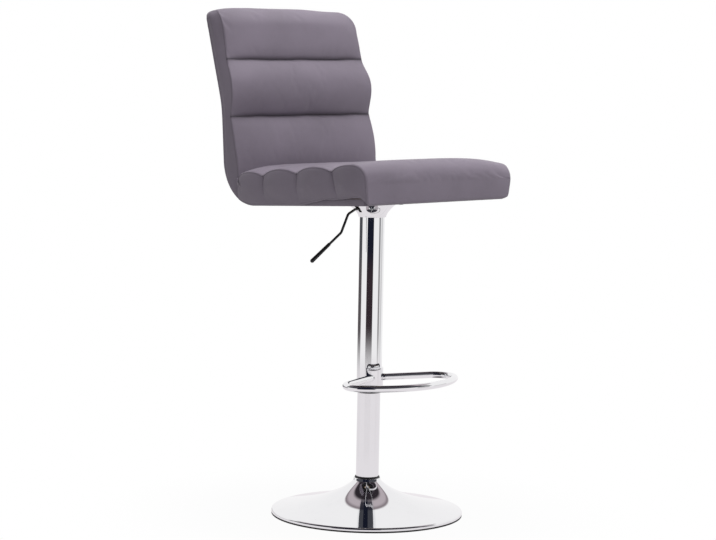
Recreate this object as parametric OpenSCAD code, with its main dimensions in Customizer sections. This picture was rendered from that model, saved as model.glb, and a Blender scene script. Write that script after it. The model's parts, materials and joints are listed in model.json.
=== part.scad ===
// Adjustable bar stool: trumpet base, gas lift in a telescopic column, footrest loop,
// bent plywood shell with channelled cushions. Millimetres, +Z up, origin on the floor
// under the column, seat front towards -Y, release lever towards -X.

/* [Base] */
// Outside diameter of the spun base
base_d = 385; // [340:1:430]
// Height of the top of the rim above the floor
rim_h = 9; // [8:0.5:14]
// Height of the neck above the floor
neck_h = 74; // [60:1:90]
// Sheet thickness of the spun base
base_wall = 2; // [1.5:0.1:2.5]
// Rounding where the disc turns down into the rim
rim_round = 4; // [2.5:0.5:5]
// Height of the rubber ring under the rim
foot_ring_h = 3; // [2:0.5:4]
// Radial width of the rubber ring
foot_ring_w = 14; // [10:1:20]
// Thickness of the steel plate inside the base
ballast_t = 3; // [2.5:0.5:5]
// Wall of the tube that holds the column's foot
foot_socket_wall = 2; // [1.5:0.1:2.5]
// Wall of the plastic ring in the neck
neck_ring_t = 1.9; // [1.5:0.1:2.5]
// Height of the neck ring above the neck
neck_ring_lip = 3.5; // [2:0.5:6]

/* [Column] */
// Outside diameter of the lower column
column_d = 46; // [42:0.5:50]
// Wall of the lower column
column_wall = 2; // [1.5:0.1:2.5]
// Length of the guide bush in the column's mouth
bush_len = 90; // [60:1:110]
// Flange of the guide bush on top of the column
bush_flange_t = 3; // [2:0.5:5]
// Thickness of the plate that closes the column's foot
end_plate_t = 4; // [3:0.5:6]

/* [Gas lift] */
// How far the seat goes down from the photographed height
lift_down = 160; // [120:1:180]
// How far the seat goes up from the photographed height
lift_up = 55; // [30:1:70]
// Outside diameter of the pressure cylinder
cylinder_d = 28; // [26:0.5:30]
// Wall of the pressure cylinder
cylinder_wall = 2; // [1.5:0.1:2.5]
// Length of the cylinder's tapered head
taper_len = 45; // [35:1:55]
// Loss of radius over the tapered head
taper_drop = 0.8; // [0.6:0.1:1]
// Length of the gland in the cylinder's foot
gland_len = 18; // [12:1:24]
// Length of the valve housing in the cylinder's head
valve_len = 16; // [12:1:20]
// Diameter of the piston rod
rod_d = 10; // [8:0.5:12]
// Diameter of the rod's foot, where it goes through the bearing
rod_foot_d = 8; // [6.5:0.5:8.5]
// Height of the piston
piston_h = 14; // [10:1:20]
// Length of the rubber buffer on the rod
buffer_len = 14; // [8:1:20]
// Diameter of the rubber buffer
buffer_d = 20; // [16:1:24]
// Diameter of the release pin
pin_d = 5; // [4:0.5:6]
// Height of the release pin above the cylinder
pin_proud = 5; // [5:0.1:6]

/* [Thrust bearing] */
// Outside diameter of the races
race_d = 26; // [22:1:30]
// Thickness of a race
race_t = 2; // [1.5:0.5:3]
// Diameter of a ball
ball_d = 4; // [3:0.5:4]
// Number of balls
ball_count = 10; // [6:1:10]
// Thickness of the ball cage
cage_t = 1.6; // [1:0.1:2]

/* [Sleeve] */
// Wall of the upper sleeve
sleeve_wall = 1.2; // [1:0.1:2]
// Wall of the glide ring inside the sleeve's foot
glide_t = 0.75; // [0.5:0.05:1]
// Length of the glide ring
glide_len = 16; // [10:1:30]
// Lip of the glide ring under the sleeve
glide_lip = 2; // [1:0.5:3]
// Height of the steel ring that joins the sleeve to the seat socket
head_len = 12; // [8:1:16]
// Depth of the flared cap
cap_len = 22; // [20:0.5:26]
// Radius of the flared cap at its top
cap_top_r = 48.5; // [40:0.5:48.5]
// Wall of the flared cap
cap_wall = 1.4; // [1:0.1:1.8]

/* [Footrest] */
// Height of the footrest bar above the floor
footrest_h = 280; // [275:1:320]
// Distance of the footrest's front from the column's axis
footrest_reach = 165; // [150:1:190]
// Diameter of the footrest bar
foot_bar_d = 14; // [12:0.5:18]
// Radius of the wide front bend
foot_front_r = 190; // [180:1:220]
// Radius of the two end bends
foot_end_r = 38; // [30:1:42]
// Distance of an end bend's centre from the middle
foot_end_x = 100; // [85:1:108]
// Half the distance between the arms where they leave the saddle
foot_arm_x = 14; // [9:0.5:16]
// Height of the saddle plate
saddle_h = 38; // [24:1:44]
// Thickness of the saddle plate
saddle_t = 3; // [2:0.5:4]
// Angle that the saddle plate wraps round the sleeve
saddle_wrap = 120; // [100:1:150]

/* [Seat] */
// Height of the seat's underside above the floor, at the column
seat_under_h = 631.5; // [600:0.5:680]
// Tilt of the seat, front edge up, in degrees
seat_tilt = 3.8; // [2:0.1:5]
// Overall width of the seat
seat_w = 412; // [380:1:440]
// Distance of the seat's front from the column's axis
seat_front = 192; // [180:1:215]
// Distance of the back's front face from the column's axis, along the seat
seat_rear = 190; // [180:1:205]
// Height of the seat's front
seat_front_h = 83; // [70:1:100]
// Height of the seat at the crease under the back
seat_rear_h = 77; // [60:1:90]
// Distance of the first sewn channel from the front
front_channel = 105; // [95:1:120]
// Spacing of the next sewn channels
channel_pitch = 96.5; // [80:0.5:100]
// Depth of a sewn channel on the seat
channel_depth = 10; // [6:0.5:14]
// How far the seat's sides draw in at a channel
channel_draw = 4; // [2:0.5:5]
// Rounding of the seat's front edge
seat_round = 28; // [18:1:34]

/* [Back] */
// Overall width of the back
back_w = 394; // [370:1:420]
// Radius of the shell's bend, outside
bend_r = 90; // [75:1:95]
// Lean of the lower back from upright, in degrees
lean_low = 4; // [2:0.5:6]
// Lean of the upper back from upright, in degrees
lean_up = 16.5; // [12:0.5:20]
// Length of the upright lower back above the bend
back_low_len = 82; // [60:1:110]
// Length over which the back changes its lean
back_turn_len = 50; // [40:1:70]
// Length of the leaning upper back
back_up_len = 170; // [140:1:190]
// Height of the lower channel above the crease with the seat
low_channel = 98.5; // [85:0.5:110]
// Height of the middle channel
mid_channel = 109; // [95:0.5:120]
// Thickness of the back at its foot
back_foot_t = 42; // [36:1:50]
// Thickness of the back at the lower sewn channel
back_pinch_t = 26; // [23:1:34]
// Thickness of the back at the upper sewn channel
back_neck_t = 33; // [26:1:40]
// Thickness of the back at its top
back_top_t = 46; // [36:1:54]
// Swell of the middle channel
mid_swell = 17; // [8:1:20]
// Swell of the upper and lower channels
end_swell = 6; // [3:1:10]
// How far the shell's ends stay behind the front of the seat and the top of the back
shell_inset = 14; // [10:1:18]
// Height over which the front of the top channel curves back to the top edge
top_fall = 36; // [20:1:44]
// How far it curves back
top_depth = 20; // [10:1:26]
// Rounding of the back's top corners, seen from the front
corner_round = 16; // [8:1:50]
// Rise of the top edge from its corners to its middle
top_crown = 6; // [0:0.5:10]

/* [Shell] */
// Thickness of the bent plywood shell
shell_t = 12; // [9:0.5:14]
// Padding over each side edge of the shell
side_pad = 9; // [7:0.5:16]
// Thickness of the rear cover and the dust cover
cover_t = 1.5; // [1:0.1:2]
// Distance from the column's axis to the seam between the two covers
cover_seam = 128; // [110:1:150]

/* [Seat plate] */
// Width of the square mounting plate
plate_w = 98; // [96:1:110]
// Thickness of the mounting plate
plate_t = 3; // [2.5:0.5:4]
// Corner radius of the mounting plate
plate_round = 12; // [6:1:16]
// Spacing of the four bolts
bolt_pitch = 80; // [78:1:84]
// Diameter of a bolt
bolt_d = 6; // [5:0.5:6]
// Diameter of a bolt's head
bolt_head_d = 11; // [10:0.5:12]
// Height of a bolt's head
bolt_head_h = 4; // [3:0.5:4.5]
// Width of the hexagon recess in a bolt's head
bolt_key_d = 4.6; // [4:0.2:5.5]
// Diameter of a threaded insert's barrel
insert_d = 8.5; // [8:0.5:10]
// Diameter of a threaded insert's flange
insert_flange_d = 18; // [15:1:20]
// Thickness of a threaded insert's flange
insert_flange_t = 1.5; // [1:0.5:2]
// Wall of the tapered socket under the plate
socket_wall = 5; // [4:0.5:6]
// Overlap of the socket and the cylinder's taper
socket_grip = 28; // [24:1:32]

/* [Lever] */
// Diameter of the lever rod
lever_d = 5; // [4:0.5:6]
// Distance of the lever's pivot from the column's axis
pivot_x = 28; // [27:0.5:30]
// Diameter of the pivot pin
pivot_d = 4; // [3:0.5:4]
// Diameter of the lever's pivot boss
boss_d = 8; // [7:0.5:8.5]
// Length of the lever's pivot boss
boss_len = 10; // [8:0.5:12]
// Thickness of a bracket ear
ear_t = 2; // [1.5:0.5:2.5]
// Width of the flattened tongue over the release pin
tongue_w = 7; // [6:0.5:8]
// Thickness of the flattened tongue
tongue_t = 3; // [2.5:0.5:3.5]
// Distance from the pivot to the lever's first bend
lever_reach_1 = 19; // [18:1:21]
// Distance from the first to the second bend, sideways
lever_reach_2 = 19; // [15:1:24]
// Drop from the first to the second bend
lever_drop_2 = 9; // [8:1:14]
// Distance from the second to the third bend, sideways
lever_reach_3 = 18; // [12:1:24]
// Drop from the second to the third bend
lever_drop_3 = 36; // [26:1:44]
// Distance from the third bend to the grip's end, sideways
lever_reach_4 = 79; // [60:1:95]
// Drop from the third bend to the grip's end
lever_drop_4 = 54; // [40:1:70]
// Radius of the lever's bends
lever_bend_r = 10; // [6:0.5:12]
// Diameter of the grip
grip_d = 8; // [7:0.5:14]
// Length of the grip
grip_len = 58; // [50:1:70]

/* [Fits] */
// Clearance of a running fit, on the radius
run_gap = 0.05; // [0.03:0.01:0.08]
// Clearance of a piece that sits in another, on the radius
seat_gap = 0.02; // [0.01:0.01:0.04]
// Clearance round a soft piece
soft_gap = 0.3; // [0.2:0.05:0.5]

/* [Hidden] */
$fn = 96;

// One overrun for every cut
cut = 1;
// Least room left at either end of the lift
stop_gap = 4;
// Room left under the sleeve at the lowest seat
sleeve_room = 10.5;
// Room left over the column at the lowest seat
column_room = 9;
// Distance of the rod's foot from the floor
rod_foot_gap = 1;
// Depth of the clip groove in the rod's foot, and thickness of the clip
clip_depth = 0.8;
clip_t = 1.2;
// Distance of the clip's top from the end plate
clip_gap = 0.1;
// Radial width of the clip outside the rod
clip_w = 2;
// Gap between the stretches of a bent bar or rod, and how far its weld stands proud
weld_gap = 0.2;
weld_over = 0.03;
// Radial room of the bearing pieces round the rod's foot
race_room = 0.2;
// Hole in the ballast plate under the column
ballast_hole_r = 11;
// Foot flange of the column socket
foot_flange_w = 14;
foot_flange_t = 4;
// Height of the straight throat of the neck
throat_h = 5;
// Distance between the column socket's top, under the throat, and the neck's top
foot_socket_drop = throat_h + base_wall;
// Depth of the piston's seal groove and size of its seal
seal_d = 3;
// Bow of the trumpet's curve: 1 is a plain logarithm, less is fuller
bow_share = 0.93;
// Points on the trumpet's curve and on other free curves
curve_steps = 30;
cap_steps = 12;
// How quickly the cap flares towards its top
cap_flare_share = 1.7;

// Radii
base_r = base_d / 2;
column_r = column_d / 2;
column_bore_r = column_r - column_wall;
throat_r = column_r + run_gap + neck_ring_t;
neck_r = throat_r + base_wall;
sleeve_bore_r = column_r + run_gap + glide_t;
sleeve_r = sleeve_bore_r + sleeve_wall;
cylinder_r = cylinder_d / 2;
cylinder_bore_r = cylinder_r - cylinder_wall;
rod_r = rod_d / 2;
rod_foot_r = rod_foot_d / 2;
saddle_r = sleeve_r + run_gap + saddle_t;
socket_r = cylinder_r + socket_wall;

// Heights at the foot of the column
ballast_top = foot_ring_h + ballast_t;
race_z = ballast_top + end_plate_t;
ball_z = race_z + race_t;
upper_race_z = ball_z + ball_d + 2 * run_gap;
rod_shoulder_z = upper_race_z + race_t;
buffer_top = rod_shoulder_z + buffer_len;
foot_socket_top = neck_h - foot_socket_drop;
neck_ring_top = neck_h + neck_ring_lip;

// Heights of the lift, from the seat down
plate_z = seat_under_h - plate_t;
// Room between the cylinder and the plate, for the lever's tongue
lever_room = 16.5;
cylinder_top = plate_z - lever_room;
cylinder_foot = buffer_top + lift_down + stop_gap;
cylinder_len = cylinder_top - cylinder_foot;
// Distances of the sleeve's top from the cylinder's and of the cap's from the plate
sleeve_drop = 8;
cap_drop = 4.5;
sleeve_top = cylinder_top - sleeve_drop;
sleeve_foot = neck_ring_top + sleeve_room + glide_lip + lift_down;
sleeve_len = sleeve_top - sleeve_foot;
head_z = sleeve_top - head_len;
column_top = head_z - lift_down - column_room - bush_flange_t;
column_len = column_top - ballast_top;
piston_z = cylinder_foot + gland_len + lift_up + stop_gap;
rod_top = piston_z + piston_h;
pin_top = cylinder_top + pin_proud;
pivot_z = pin_top + soft_gap + tongue_t / 2;
cap_top = plate_z - cap_drop;
cap_foot = cap_top - cap_len;

// The shell's outer line, in the tilted frame of the seat: along the seat, round the
// bend and up the back. Its length counts from the end of the bend, where it is 0.
bend_y = seat_rear + back_foot_t - bend_r;
low_angle = 90 - lean_low + seat_tilt;
up_angle = 90 - lean_up + seat_tilt;
bend_len = bend_r * low_angle * PI / 180;
turn_r = back_turn_len / ((low_angle - up_angle) * PI / 180);
back_len = back_low_len + back_turn_len + back_up_len;
bend_steps = 15;
turn_steps = 5;

function line_angle(s) =
    s < -bend_len ? 0
    : s < 0 ? low_angle * (1 + s / bend_len)
    : s < back_low_len ? low_angle
    : s < back_low_len + back_turn_len
        ? low_angle - (low_angle - up_angle) * (s - back_low_len) / back_turn_len
    : up_angle;

function bend_point(a) = [bend_y + bend_r * sin(a), bend_r * (1 - cos(a))];
function ahead(p, a, d) = p + d * [cos(a), sin(a)];
low_end = ahead(bend_point(low_angle), low_angle, back_low_len);
function turn_point(a) =
    low_end + turn_r * [sin(low_angle) - sin(a), cos(a) - cos(low_angle)];

function line_point(s) =
    s < -bend_len ? [bend_y + s + bend_len, 0]
    : s < 0 ? bend_point(line_angle(s))
    : s < back_low_len ? ahead(bend_point(low_angle), low_angle, s)
    : s < back_low_len + back_turn_len ? turn_point(line_angle(s))
    : ahead(turn_point(up_angle), up_angle, s - back_low_len - back_turn_len);

// A point at depth t inside the line
function inside(s, t) = line_point(s) + t * [-sin(line_angle(s)), cos(line_angle(s))];

line_stops = concat(
    [for (i = [0:bend_steps]) bend_len * (i / bend_steps - 1)],
    [for (i = [0:turn_steps]) back_low_len + back_turn_len * i / turn_steps]);
function stops(from, to) =
    concat([from], [for (s = line_stops) if (s > from && s < to) s], [to]);

// The length on the line at a distance y from the column, on the flat of the seat
function on_flat(y) = y - bend_y - bend_len;

shell_w = min(seat_w, back_w) - 2 * side_pad;
// Where the shell and its covers end
shell_front = on_flat(-seat_front + shell_inset);
shell_end = back_len - shell_inset;
cover_from = on_flat(cover_seam);

// Puts a piece that is drawn along the seat in its place
module on_seat() {
    translate([0, 0, seat_under_h]) rotate([-seat_tilt, 0, 0]) children();
}

// A strip of the shell between two depths, as wide as w
module strip(from, to, t_out, t_in, w) {
    side = stops(from, to);
    n = len(side) - 1;
    rotate([90, 0, 90])
        linear_extrude(height = w, center = true)
            polygon(concat(
                [for (s = side) inside(s, t_out)],
                [for (i = [n:-1:0]) inside(side[i], t_in)]));
}

module tube(r_out, r_in, h) {
    difference() {
        cylinder(r = r_out, h = h);
        translate([0, 0, -cut]) cylinder(r = r_in, h = h + 2 * cut);
    }
}

module at_height(z) {
    translate([0, 0, z]) children();
}

// Everything above the mounting plate's underside, for trimming what is welded to it
module above_plate() {
    room = plate_w + socket_r;
    on_seat() translate([-room / 2, -room / 2, -plate_t]) cube(room);
}

module at_bolts() {
    for (x = [-1, 1], y = [-1, 1])
        translate([x * bolt_pitch / 2, y * bolt_pitch / 2, 0]) children();
}

// Base

// Height of the trumpet's outside at a radius, and its slope
function trumpet_z(r) =
    rim_h + (neck_h - throat_h - rim_h) * pow(ln(base_r / r) / ln(base_r / neck_r), bow_share);
function trumpet_point(k) =
    let (r = neck_r * pow((base_r - rim_round) / neck_r, k)) [r, trumpet_z(r)];
function trumpet_normal(k) =
    let (step = 1 / curve_steps / 8,
         d = trumpet_point(min(1, k + step)) - trumpet_point(max(0, k - step)))
    [d[1], -d[0]] / norm(d);

module base_disc() {
    outer = [for (i = [0:curve_steps]) trumpet_point(i / curve_steps)];
    inner = [for (i = [curve_steps:-1:0])
        trumpet_point(i / curve_steps) + base_wall * trumpet_normal(i / curve_steps)];
    edge_z = outer[curve_steps][1] - rim_round;
    rim = [for (a = [75:-15:0])
        [base_r - rim_round + rim_round * cos(a), edge_z + rim_round * sin(a)]];
    inner_r = base_r - base_wall;
    color("gainsboro")
        rotate_extrude()
            polygon(concat(
                [[throat_r, neck_h], [neck_r, neck_h]],
                outer, rim,
                [[base_r, foot_ring_h], [inner_r, foot_ring_h], [inner_r, edge_z]],
                [for (p = inner) if (p[0] < inner_r - base_wall && p[0] > throat_r) p],
                [[throat_r, inner[curve_steps][1]]]));
}

module foot_ring() {
    color("dimgray") tube(base_r - run_gap, base_r - foot_ring_w, foot_ring_h);
}

module ballast_plate() {
    color("slategray")
        at_height(foot_ring_h)
            tube(base_r - base_wall - rim_round, ballast_hole_r, ballast_t);
}

module foot_socket() {
    r_in = column_r + seat_gap;
    r_out = r_in + foot_socket_wall;
    color("slategray")
        at_height(ballast_top) {
            tube(r_out, r_in, foot_socket_top - ballast_top);
            tube(r_out + foot_flange_w, r_in, foot_flange_t);
        }
}

module neck_ring() {
    color("#242426")
        at_height(foot_socket_top)
            rotate_extrude()
                translate([column_r + run_gap, 0])
                    polygon([
                        [0, 0], [neck_ring_t - seat_gap, 0],
                        [neck_ring_t - seat_gap, foot_socket_drop],
                        [neck_ring_t + base_wall / 4, foot_socket_drop],
                        [neck_ring_t, foot_socket_drop + neck_ring_lip / 2],
                        [neck_ring_t / 2, foot_socket_drop + neck_ring_lip],
                        [0, foot_socket_drop + neck_ring_lip]]);
}

// Column

module column_tube() {
    color("gainsboro") at_height(ballast_top) tube(column_r, column_bore_r, column_len);
}

module column_end_plate() {
    color("slategray")
        at_height(ballast_top)
            tube(column_bore_r - seat_gap, rod_foot_r + run_gap, end_plate_t);
}

module guide_bush() {
    color("#242426")
        difference() {
            union() {
                at_height(column_top - bush_len)
                    cylinder(r = column_bore_r - seat_gap, h = bush_len);
                at_height(column_top) cylinder(r = column_r, h = bush_flange_t);
            }
            at_height(column_top - bush_len - cut)
                cylinder(r = cylinder_r + run_gap, h = bush_len + bush_flange_t + 2 * cut);
        }
}

// Thrust bearing

ball_ring_r = (race_d / 2 + rod_foot_r + race_room) / 2;

module at_balls() {
    for (i = [0:ball_count - 1])
        rotate([0, 0, 360 * i / ball_count])
            translate([ball_ring_r, 0, ball_z + ball_d / 2 + run_gap]) children();
}

module lower_race() {
    color("silver")
        at_height(race_z) tube(race_d / 2, rod_foot_r + race_room, race_t);
}

module ball_cage() {
    color("goldenrod")
        difference() {
            at_height(ball_z + (ball_d + 2 * run_gap - cage_t) / 2)
                tube(race_d / 2 - race_room, rod_foot_r + race_room, cage_t);
            at_balls() cylinder(r = ball_d / 2 + run_gap, h = 2 * ball_d, center = true);
        }
}

module bearing_balls() {
    color("silver") at_balls() sphere(r = ball_d / 2);
}

module upper_race() {
    color("silver")
        at_height(upper_race_z) tube(race_d / 2, rod_foot_r + seat_gap, race_t);
}

// Spindle

clip_top = ballast_top - clip_gap;

module piston_rod() {
    foot_len = rod_shoulder_z - rod_foot_gap;
    color("silver")
        difference() {
            union() {
                at_height(rod_foot_gap) cylinder(r = rod_foot_r, h = foot_len);
                at_height(rod_shoulder_z) cylinder(r = rod_r, h = rod_top - rod_shoulder_z);
            }
            at_height(clip_top - clip_t)
                tube(rod_r, rod_foot_r - clip_depth, clip_t);
        }
}

module rod_clip() {
    r_in = rod_foot_r - clip_depth + seat_gap;
    r_out = rod_foot_r + clip_w;
    color("silver")
        at_height(clip_top - clip_t)
            difference() {
                tube(r_out, r_in, clip_t - seat_gap);
                translate([0, -r_in, -cut]) cube([2 * r_out, 2 * r_in, clip_t + 2 * cut]);
            }
}

// Outline of the waisted buffer, in shares of its wall and its length
buffer_shares = [[0, 0], [1, 0], [0.8, 0.5], [1, 0.9], [0.9, 1], [0, 1]];

module rod_buffer() {
    color("#242426")
        at_height(rod_shoulder_z)
            rotate_extrude()
                translate([rod_r + seat_gap, 0])
                    polygon([for (p = buffer_shares)
                        [p[0] * (buffer_d / 2 - rod_r), p[1] * buffer_len]]);
}

module piston() {
    color("goldenrod")
        difference() {
            at_height(piston_z)
                tube(cylinder_bore_r - run_gap, rod_r + seat_gap, piston_h);
            at_height(piston_z + (piston_h - seal_d) / 2)
                tube(cylinder_r, cylinder_bore_r - run_gap - seal_d / 2, seal_d);
        }
}

module piston_seal() {
    color("#242426")
        at_height(piston_z + piston_h / 2)
            rotate_extrude()
                translate([cylinder_bore_r - run_gap - seal_d / 4, 0])
                    circle(r = seal_d / 4 - seat_gap);
}

// Gas cylinder

function taper_r(z) =
    cylinder_r - taper_drop * max(0, z - (cylinder_top - taper_len)) / taper_len;

module gas_cylinder() {
    color("#3a3a3e")
        difference() {
            union() {
                at_height(cylinder_foot)
                    cylinder(r = cylinder_r, h = cylinder_len - taper_len);
                at_height(cylinder_top - taper_len)
                    cylinder(r1 = cylinder_r, r2 = taper_r(cylinder_top), h = taper_len);
            }
            at_height(cylinder_foot - cut)
                cylinder(r = cylinder_bore_r, h = cylinder_len + 2 * cut);
        }
}

module cylinder_gland() {
    color("goldenrod")
        at_height(cylinder_foot)
            tube(cylinder_bore_r - seat_gap, rod_r + run_gap, gland_len);
}

module valve_housing() {
    color("silver")
        at_height(cylinder_top - valve_len)
            tube(cylinder_bore_r - seat_gap, pin_d / 2 + run_gap, valve_len);
}

module release_pin() {
    pin_len = valve_len + pin_proud - stop_gap / 2;
    tip = pin_d / 5;
    color("silver")
        at_height(pin_top - pin_len) {
            cylinder(r = pin_d / 2, h = pin_len - tip);
            at_height(pin_len - tip) cylinder(r1 = pin_d / 2, r2 = pin_d / 2 - tip, h = tip);
        }
}

// Sleeve

module upper_sleeve() {
    color("gainsboro") at_height(sleeve_foot) tube(sleeve_r, sleeve_bore_r, sleeve_len);
}

module glide_ring() {
    color("#242426")
        at_height(sleeve_foot) {
            tube(sleeve_bore_r - seat_gap, column_r + run_gap, glide_len);
            at_height(-glide_lip) tube(sleeve_r, column_r + run_gap, glide_lip);
        }
}

module sleeve_head() {
    color("slategray")
        at_height(head_z) tube(sleeve_bore_r - seat_gap, socket_r + seat_gap, head_len);
}

// The cap hugs the sleeve and flares towards the seat; a notch lets the lever out
module sleeve_cap() {
    foot_r = sleeve_r + seat_gap;
    flare = cap_top_r - foot_r - cap_wall;
    notch_w = lever_d + 2 * cap_wall;
    function cap_point(k, t) = [foot_r + t + flare * pow(k, cap_flare_share), cap_len * k];
    color("gainsboro")
        difference() {
            at_height(cap_foot)
                rotate_extrude()
                    polygon(concat(
                        [for (i = [0:cap_steps]) cap_point(i / cap_steps, 0)],
                        [for (i = [cap_steps:-1:0]) cap_point(i / cap_steps, cap_wall)]));
            translate([-cap_top_r - cut, -notch_w / 2, pivot_z - lever_d - cap_wall])
                cube([cap_top_r, notch_w, cap_len]);
        }
}

// Footrest

foot_end_y = foot_front_r - footrest_reach
    - sqrt(pow(foot_front_r - foot_end_r, 2) - pow(foot_end_x, 2));
foot_front_y = foot_front_r - footrest_reach;
front_half_angle = atan2(foot_end_x, foot_front_y - foot_end_y);
// The arm starts on the saddle and runs as a tangent to the end bend
arm_start = [foot_arm_x, -sqrt(pow(saddle_r, 2) - pow(foot_arm_x, 2)) + saddle_t];
arm_line = [foot_end_x, foot_end_y] - arm_start;
arm_len = sqrt(pow(norm(arm_line), 2) - pow(foot_end_r, 2));
arm_angle = atan2(arm_line[1], arm_line[0]) + asin(foot_end_r / norm(arm_line));
end_from = front_half_angle - 90;
end_turn = arm_angle + 90 - end_from;

// A bend of round bar in the XY plane, short of both ends by the welding gap
module bar_bend(bend, turn, r) {
    trim = weld_gap / bend * 180 / PI;
    rotate([0, 0, trim])
        rotate_extrude(angle = turn - 2 * trim)
            translate([bend, 0]) circle(r = r);
}

// The weld that closes the gap between two stretches
module weld(r) {
    sphere(r = r + weld_over);
}

module footrest_loop() {
    r = foot_bar_d / 2;
    color("gainsboro")
        at_height(footrest_h) {
            translate([0, foot_front_y, 0])
                rotate([0, 0, -90 - front_half_angle])
                    bar_bend(foot_front_r, 2 * front_half_angle, r);
            for (side = [0, 1])
                mirror([side, 0, 0]) {
                    translate([foot_end_x, foot_end_y, 0])
                        rotate([0, 0, end_from]) {
                            bar_bend(foot_end_r, end_turn, r);
                            for (turn = [0, end_turn])
                                rotate([0, 0, turn]) translate([foot_end_r, 0, 0]) weld(r);
                        }
                    difference() {
                        translate(arm_start)
                            rotate([0, 0, arm_angle])
                                rotate([0, 90, 0]) cylinder(r = r, h = arm_len - weld_gap);
                        translate([0, 0, -foot_bar_d])
                            cylinder(r = saddle_r + seat_gap, h = 2 * foot_bar_d);
                    }
                }
        }
}

module footrest_saddle() {
    reach = 2 * saddle_r;
    half = saddle_wrap / 2;
    color("gainsboro")
        at_height(footrest_h - saddle_h / 2)
            intersection() {
                tube(saddle_r, sleeve_r + seat_gap, saddle_h);
                linear_extrude(height = saddle_h)
                    polygon([
                        [0, 0],
                        [-reach * sin(half), -reach * cos(half)],
                        [0, -2 * reach],
                        [reach * sin(half), -reach * cos(half)]]);
            }
}

// Seat plate and lever pivot

module seat_plate() {
    flat = plate_w - 2 * plate_round;
    rib_r = socket_r + socket_wall;
    color("#2c2c30")
        on_seat()
            difference() {
                at_height(-plate_t) {
                    translate([-plate_w / 2, -flat / 2, 0]) cube([plate_w, flat, plate_t]);
                    translate([-flat / 2, -plate_w / 2, 0]) cube([flat, plate_w, plate_t]);
                    for (x = [-1, 1], y = [-1, 1])
                        translate([x * flat / 2, y * flat / 2, 0])
                            cylinder(r = plate_round, h = plate_t);
                }
                at_bolts()
                    at_height(-plate_t - cut)
                        cylinder(r = bolt_d / 2 + soft_gap, h = plate_t + 2 * cut);
                at_height(-plate_t / 3) tube(rib_r, socket_r, plate_t);
            }
}

module lift_socket() {
    foot_z = cylinder_top - socket_grip;
    color("#2c2c30")
        difference() {
            at_height(foot_z) cylinder(r = socket_r, h = 2 * socket_grip + lever_room);
            at_height(foot_z)
                cylinder(r1 = taper_r(foot_z) + seat_gap,
                    r2 = taper_r(cylinder_top) + seat_gap, h = socket_grip);
            at_height(foot_z - cut) cylinder(r = taper_r(foot_z) + seat_gap, h = cut);
            at_height(cylinder_top)
                cylinder(r = taper_r(cylinder_top) + seat_gap, h = socket_grip + lever_room);
            translate([-2 * socket_r, -tongue_w / 2 - cut, cylinder_top])
                cube([2 * socket_r, tongue_w + 2 * cut, lever_room + plate_w]);
            above_plate();
        }
}

module lever_bracket() {
    ear_w = boss_d;
    color("#2c2c30")
        difference() {
            for (side = [-1, 1])
                translate([-pivot_x, side * (boss_len / 2 + run_gap + ear_t / 2), pivot_z])
                    rotate([90, 0, 0]) {
                        cylinder(r = ear_w / 2, h = ear_t, center = true);
                        translate([-ear_w / 2, 0, -ear_t / 2]) cube([ear_w, lever_room, ear_t]);
                    }
            translate([-pivot_x, 0, pivot_z])
                rotate([90, 0, 0])
                    cylinder(r = pivot_d / 2 + seat_gap, h = 2 * boss_len, center = true);
            above_plate();
        }
}

module lever_pin() {
    span = boss_len + 2 * run_gap + 2 * ear_t;
    head = ear_t / 2;
    head_share = 0.7;
    color("silver")
        translate([-pivot_x, 0, pivot_z])
            rotate([90, 0, 0]) {
                cylinder(r = pivot_d / 2, h = span + 2 * head, center = true);
                for (side = [-1, 1])
                    at_height(side * (span / 2 + seat_gap + head / 2))
                        cylinder(r = pivot_d * head_share, h = head, center = true);
            }
}

module plate_bolts() {
    top = cover_t + shell_t - insert_flange_t;
    head_share = 0.8;
    color("#242426")
        on_seat() at_bolts()
            difference() {
                union() {
                    at_height(-plate_t - bolt_head_h)
                        cylinder(r1 = bolt_head_d / 2 * head_share, r2 = bolt_head_d / 2,
                            h = bolt_head_h);
                    at_height(-plate_t) cylinder(r = bolt_d / 2, h = plate_t + top);
                }
                at_height(-plate_t - bolt_head_h - cut)
                    cylinder(r = bolt_key_d / 2, h = bolt_head_h / 2 + cut, $fn = 6);
            }
}

module threaded_inserts() {
    top = cover_t + shell_t;
    color("silver")
        on_seat() at_bolts()
            difference() {
                union() {
                    at_height(2 * cover_t)
                        cylinder(r = insert_d / 2, h = top - 2 * cover_t);
                    at_height(top - insert_flange_t)
                        cylinder(r = insert_flange_d / 2, h = insert_flange_t);
                }
                cylinder(r = bolt_d / 2 + seat_gap, h = top + cut);
            }
}

// Shell and covers

module plywood_shell() {
    top = cover_t + shell_t;
    color("burlywood")
        on_seat()
            difference() {
                strip(shell_front, shell_end, cover_t, top, shell_w);
                at_bolts() {
                    cylinder(r = insert_d / 2 + seat_gap, h = top + cut);
                    at_height(top - insert_flange_t)
                        cylinder(r = insert_flange_d / 2 + seat_gap, h = insert_flange_t + cut);
                }
            }
}

module dust_cover() {
    color("#26252a")
        on_seat()
            difference() {
                strip(shell_front, cover_from, 0, cover_t, shell_w);
                at_bolts()
                    at_height(-cut) cylinder(r = bolt_d / 2 + soft_gap, h = cover_t + 2 * cut);
            }
}

module rear_cover() {
    color("#5f5963")
        on_seat() strip(cover_from + soft_gap, shell_end, 0, cover_t, shell_w);
}

// Cushions

function middle(ring) = [for (j = [0:len(ring) - 1]) 1] * ring / len(ring);

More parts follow.
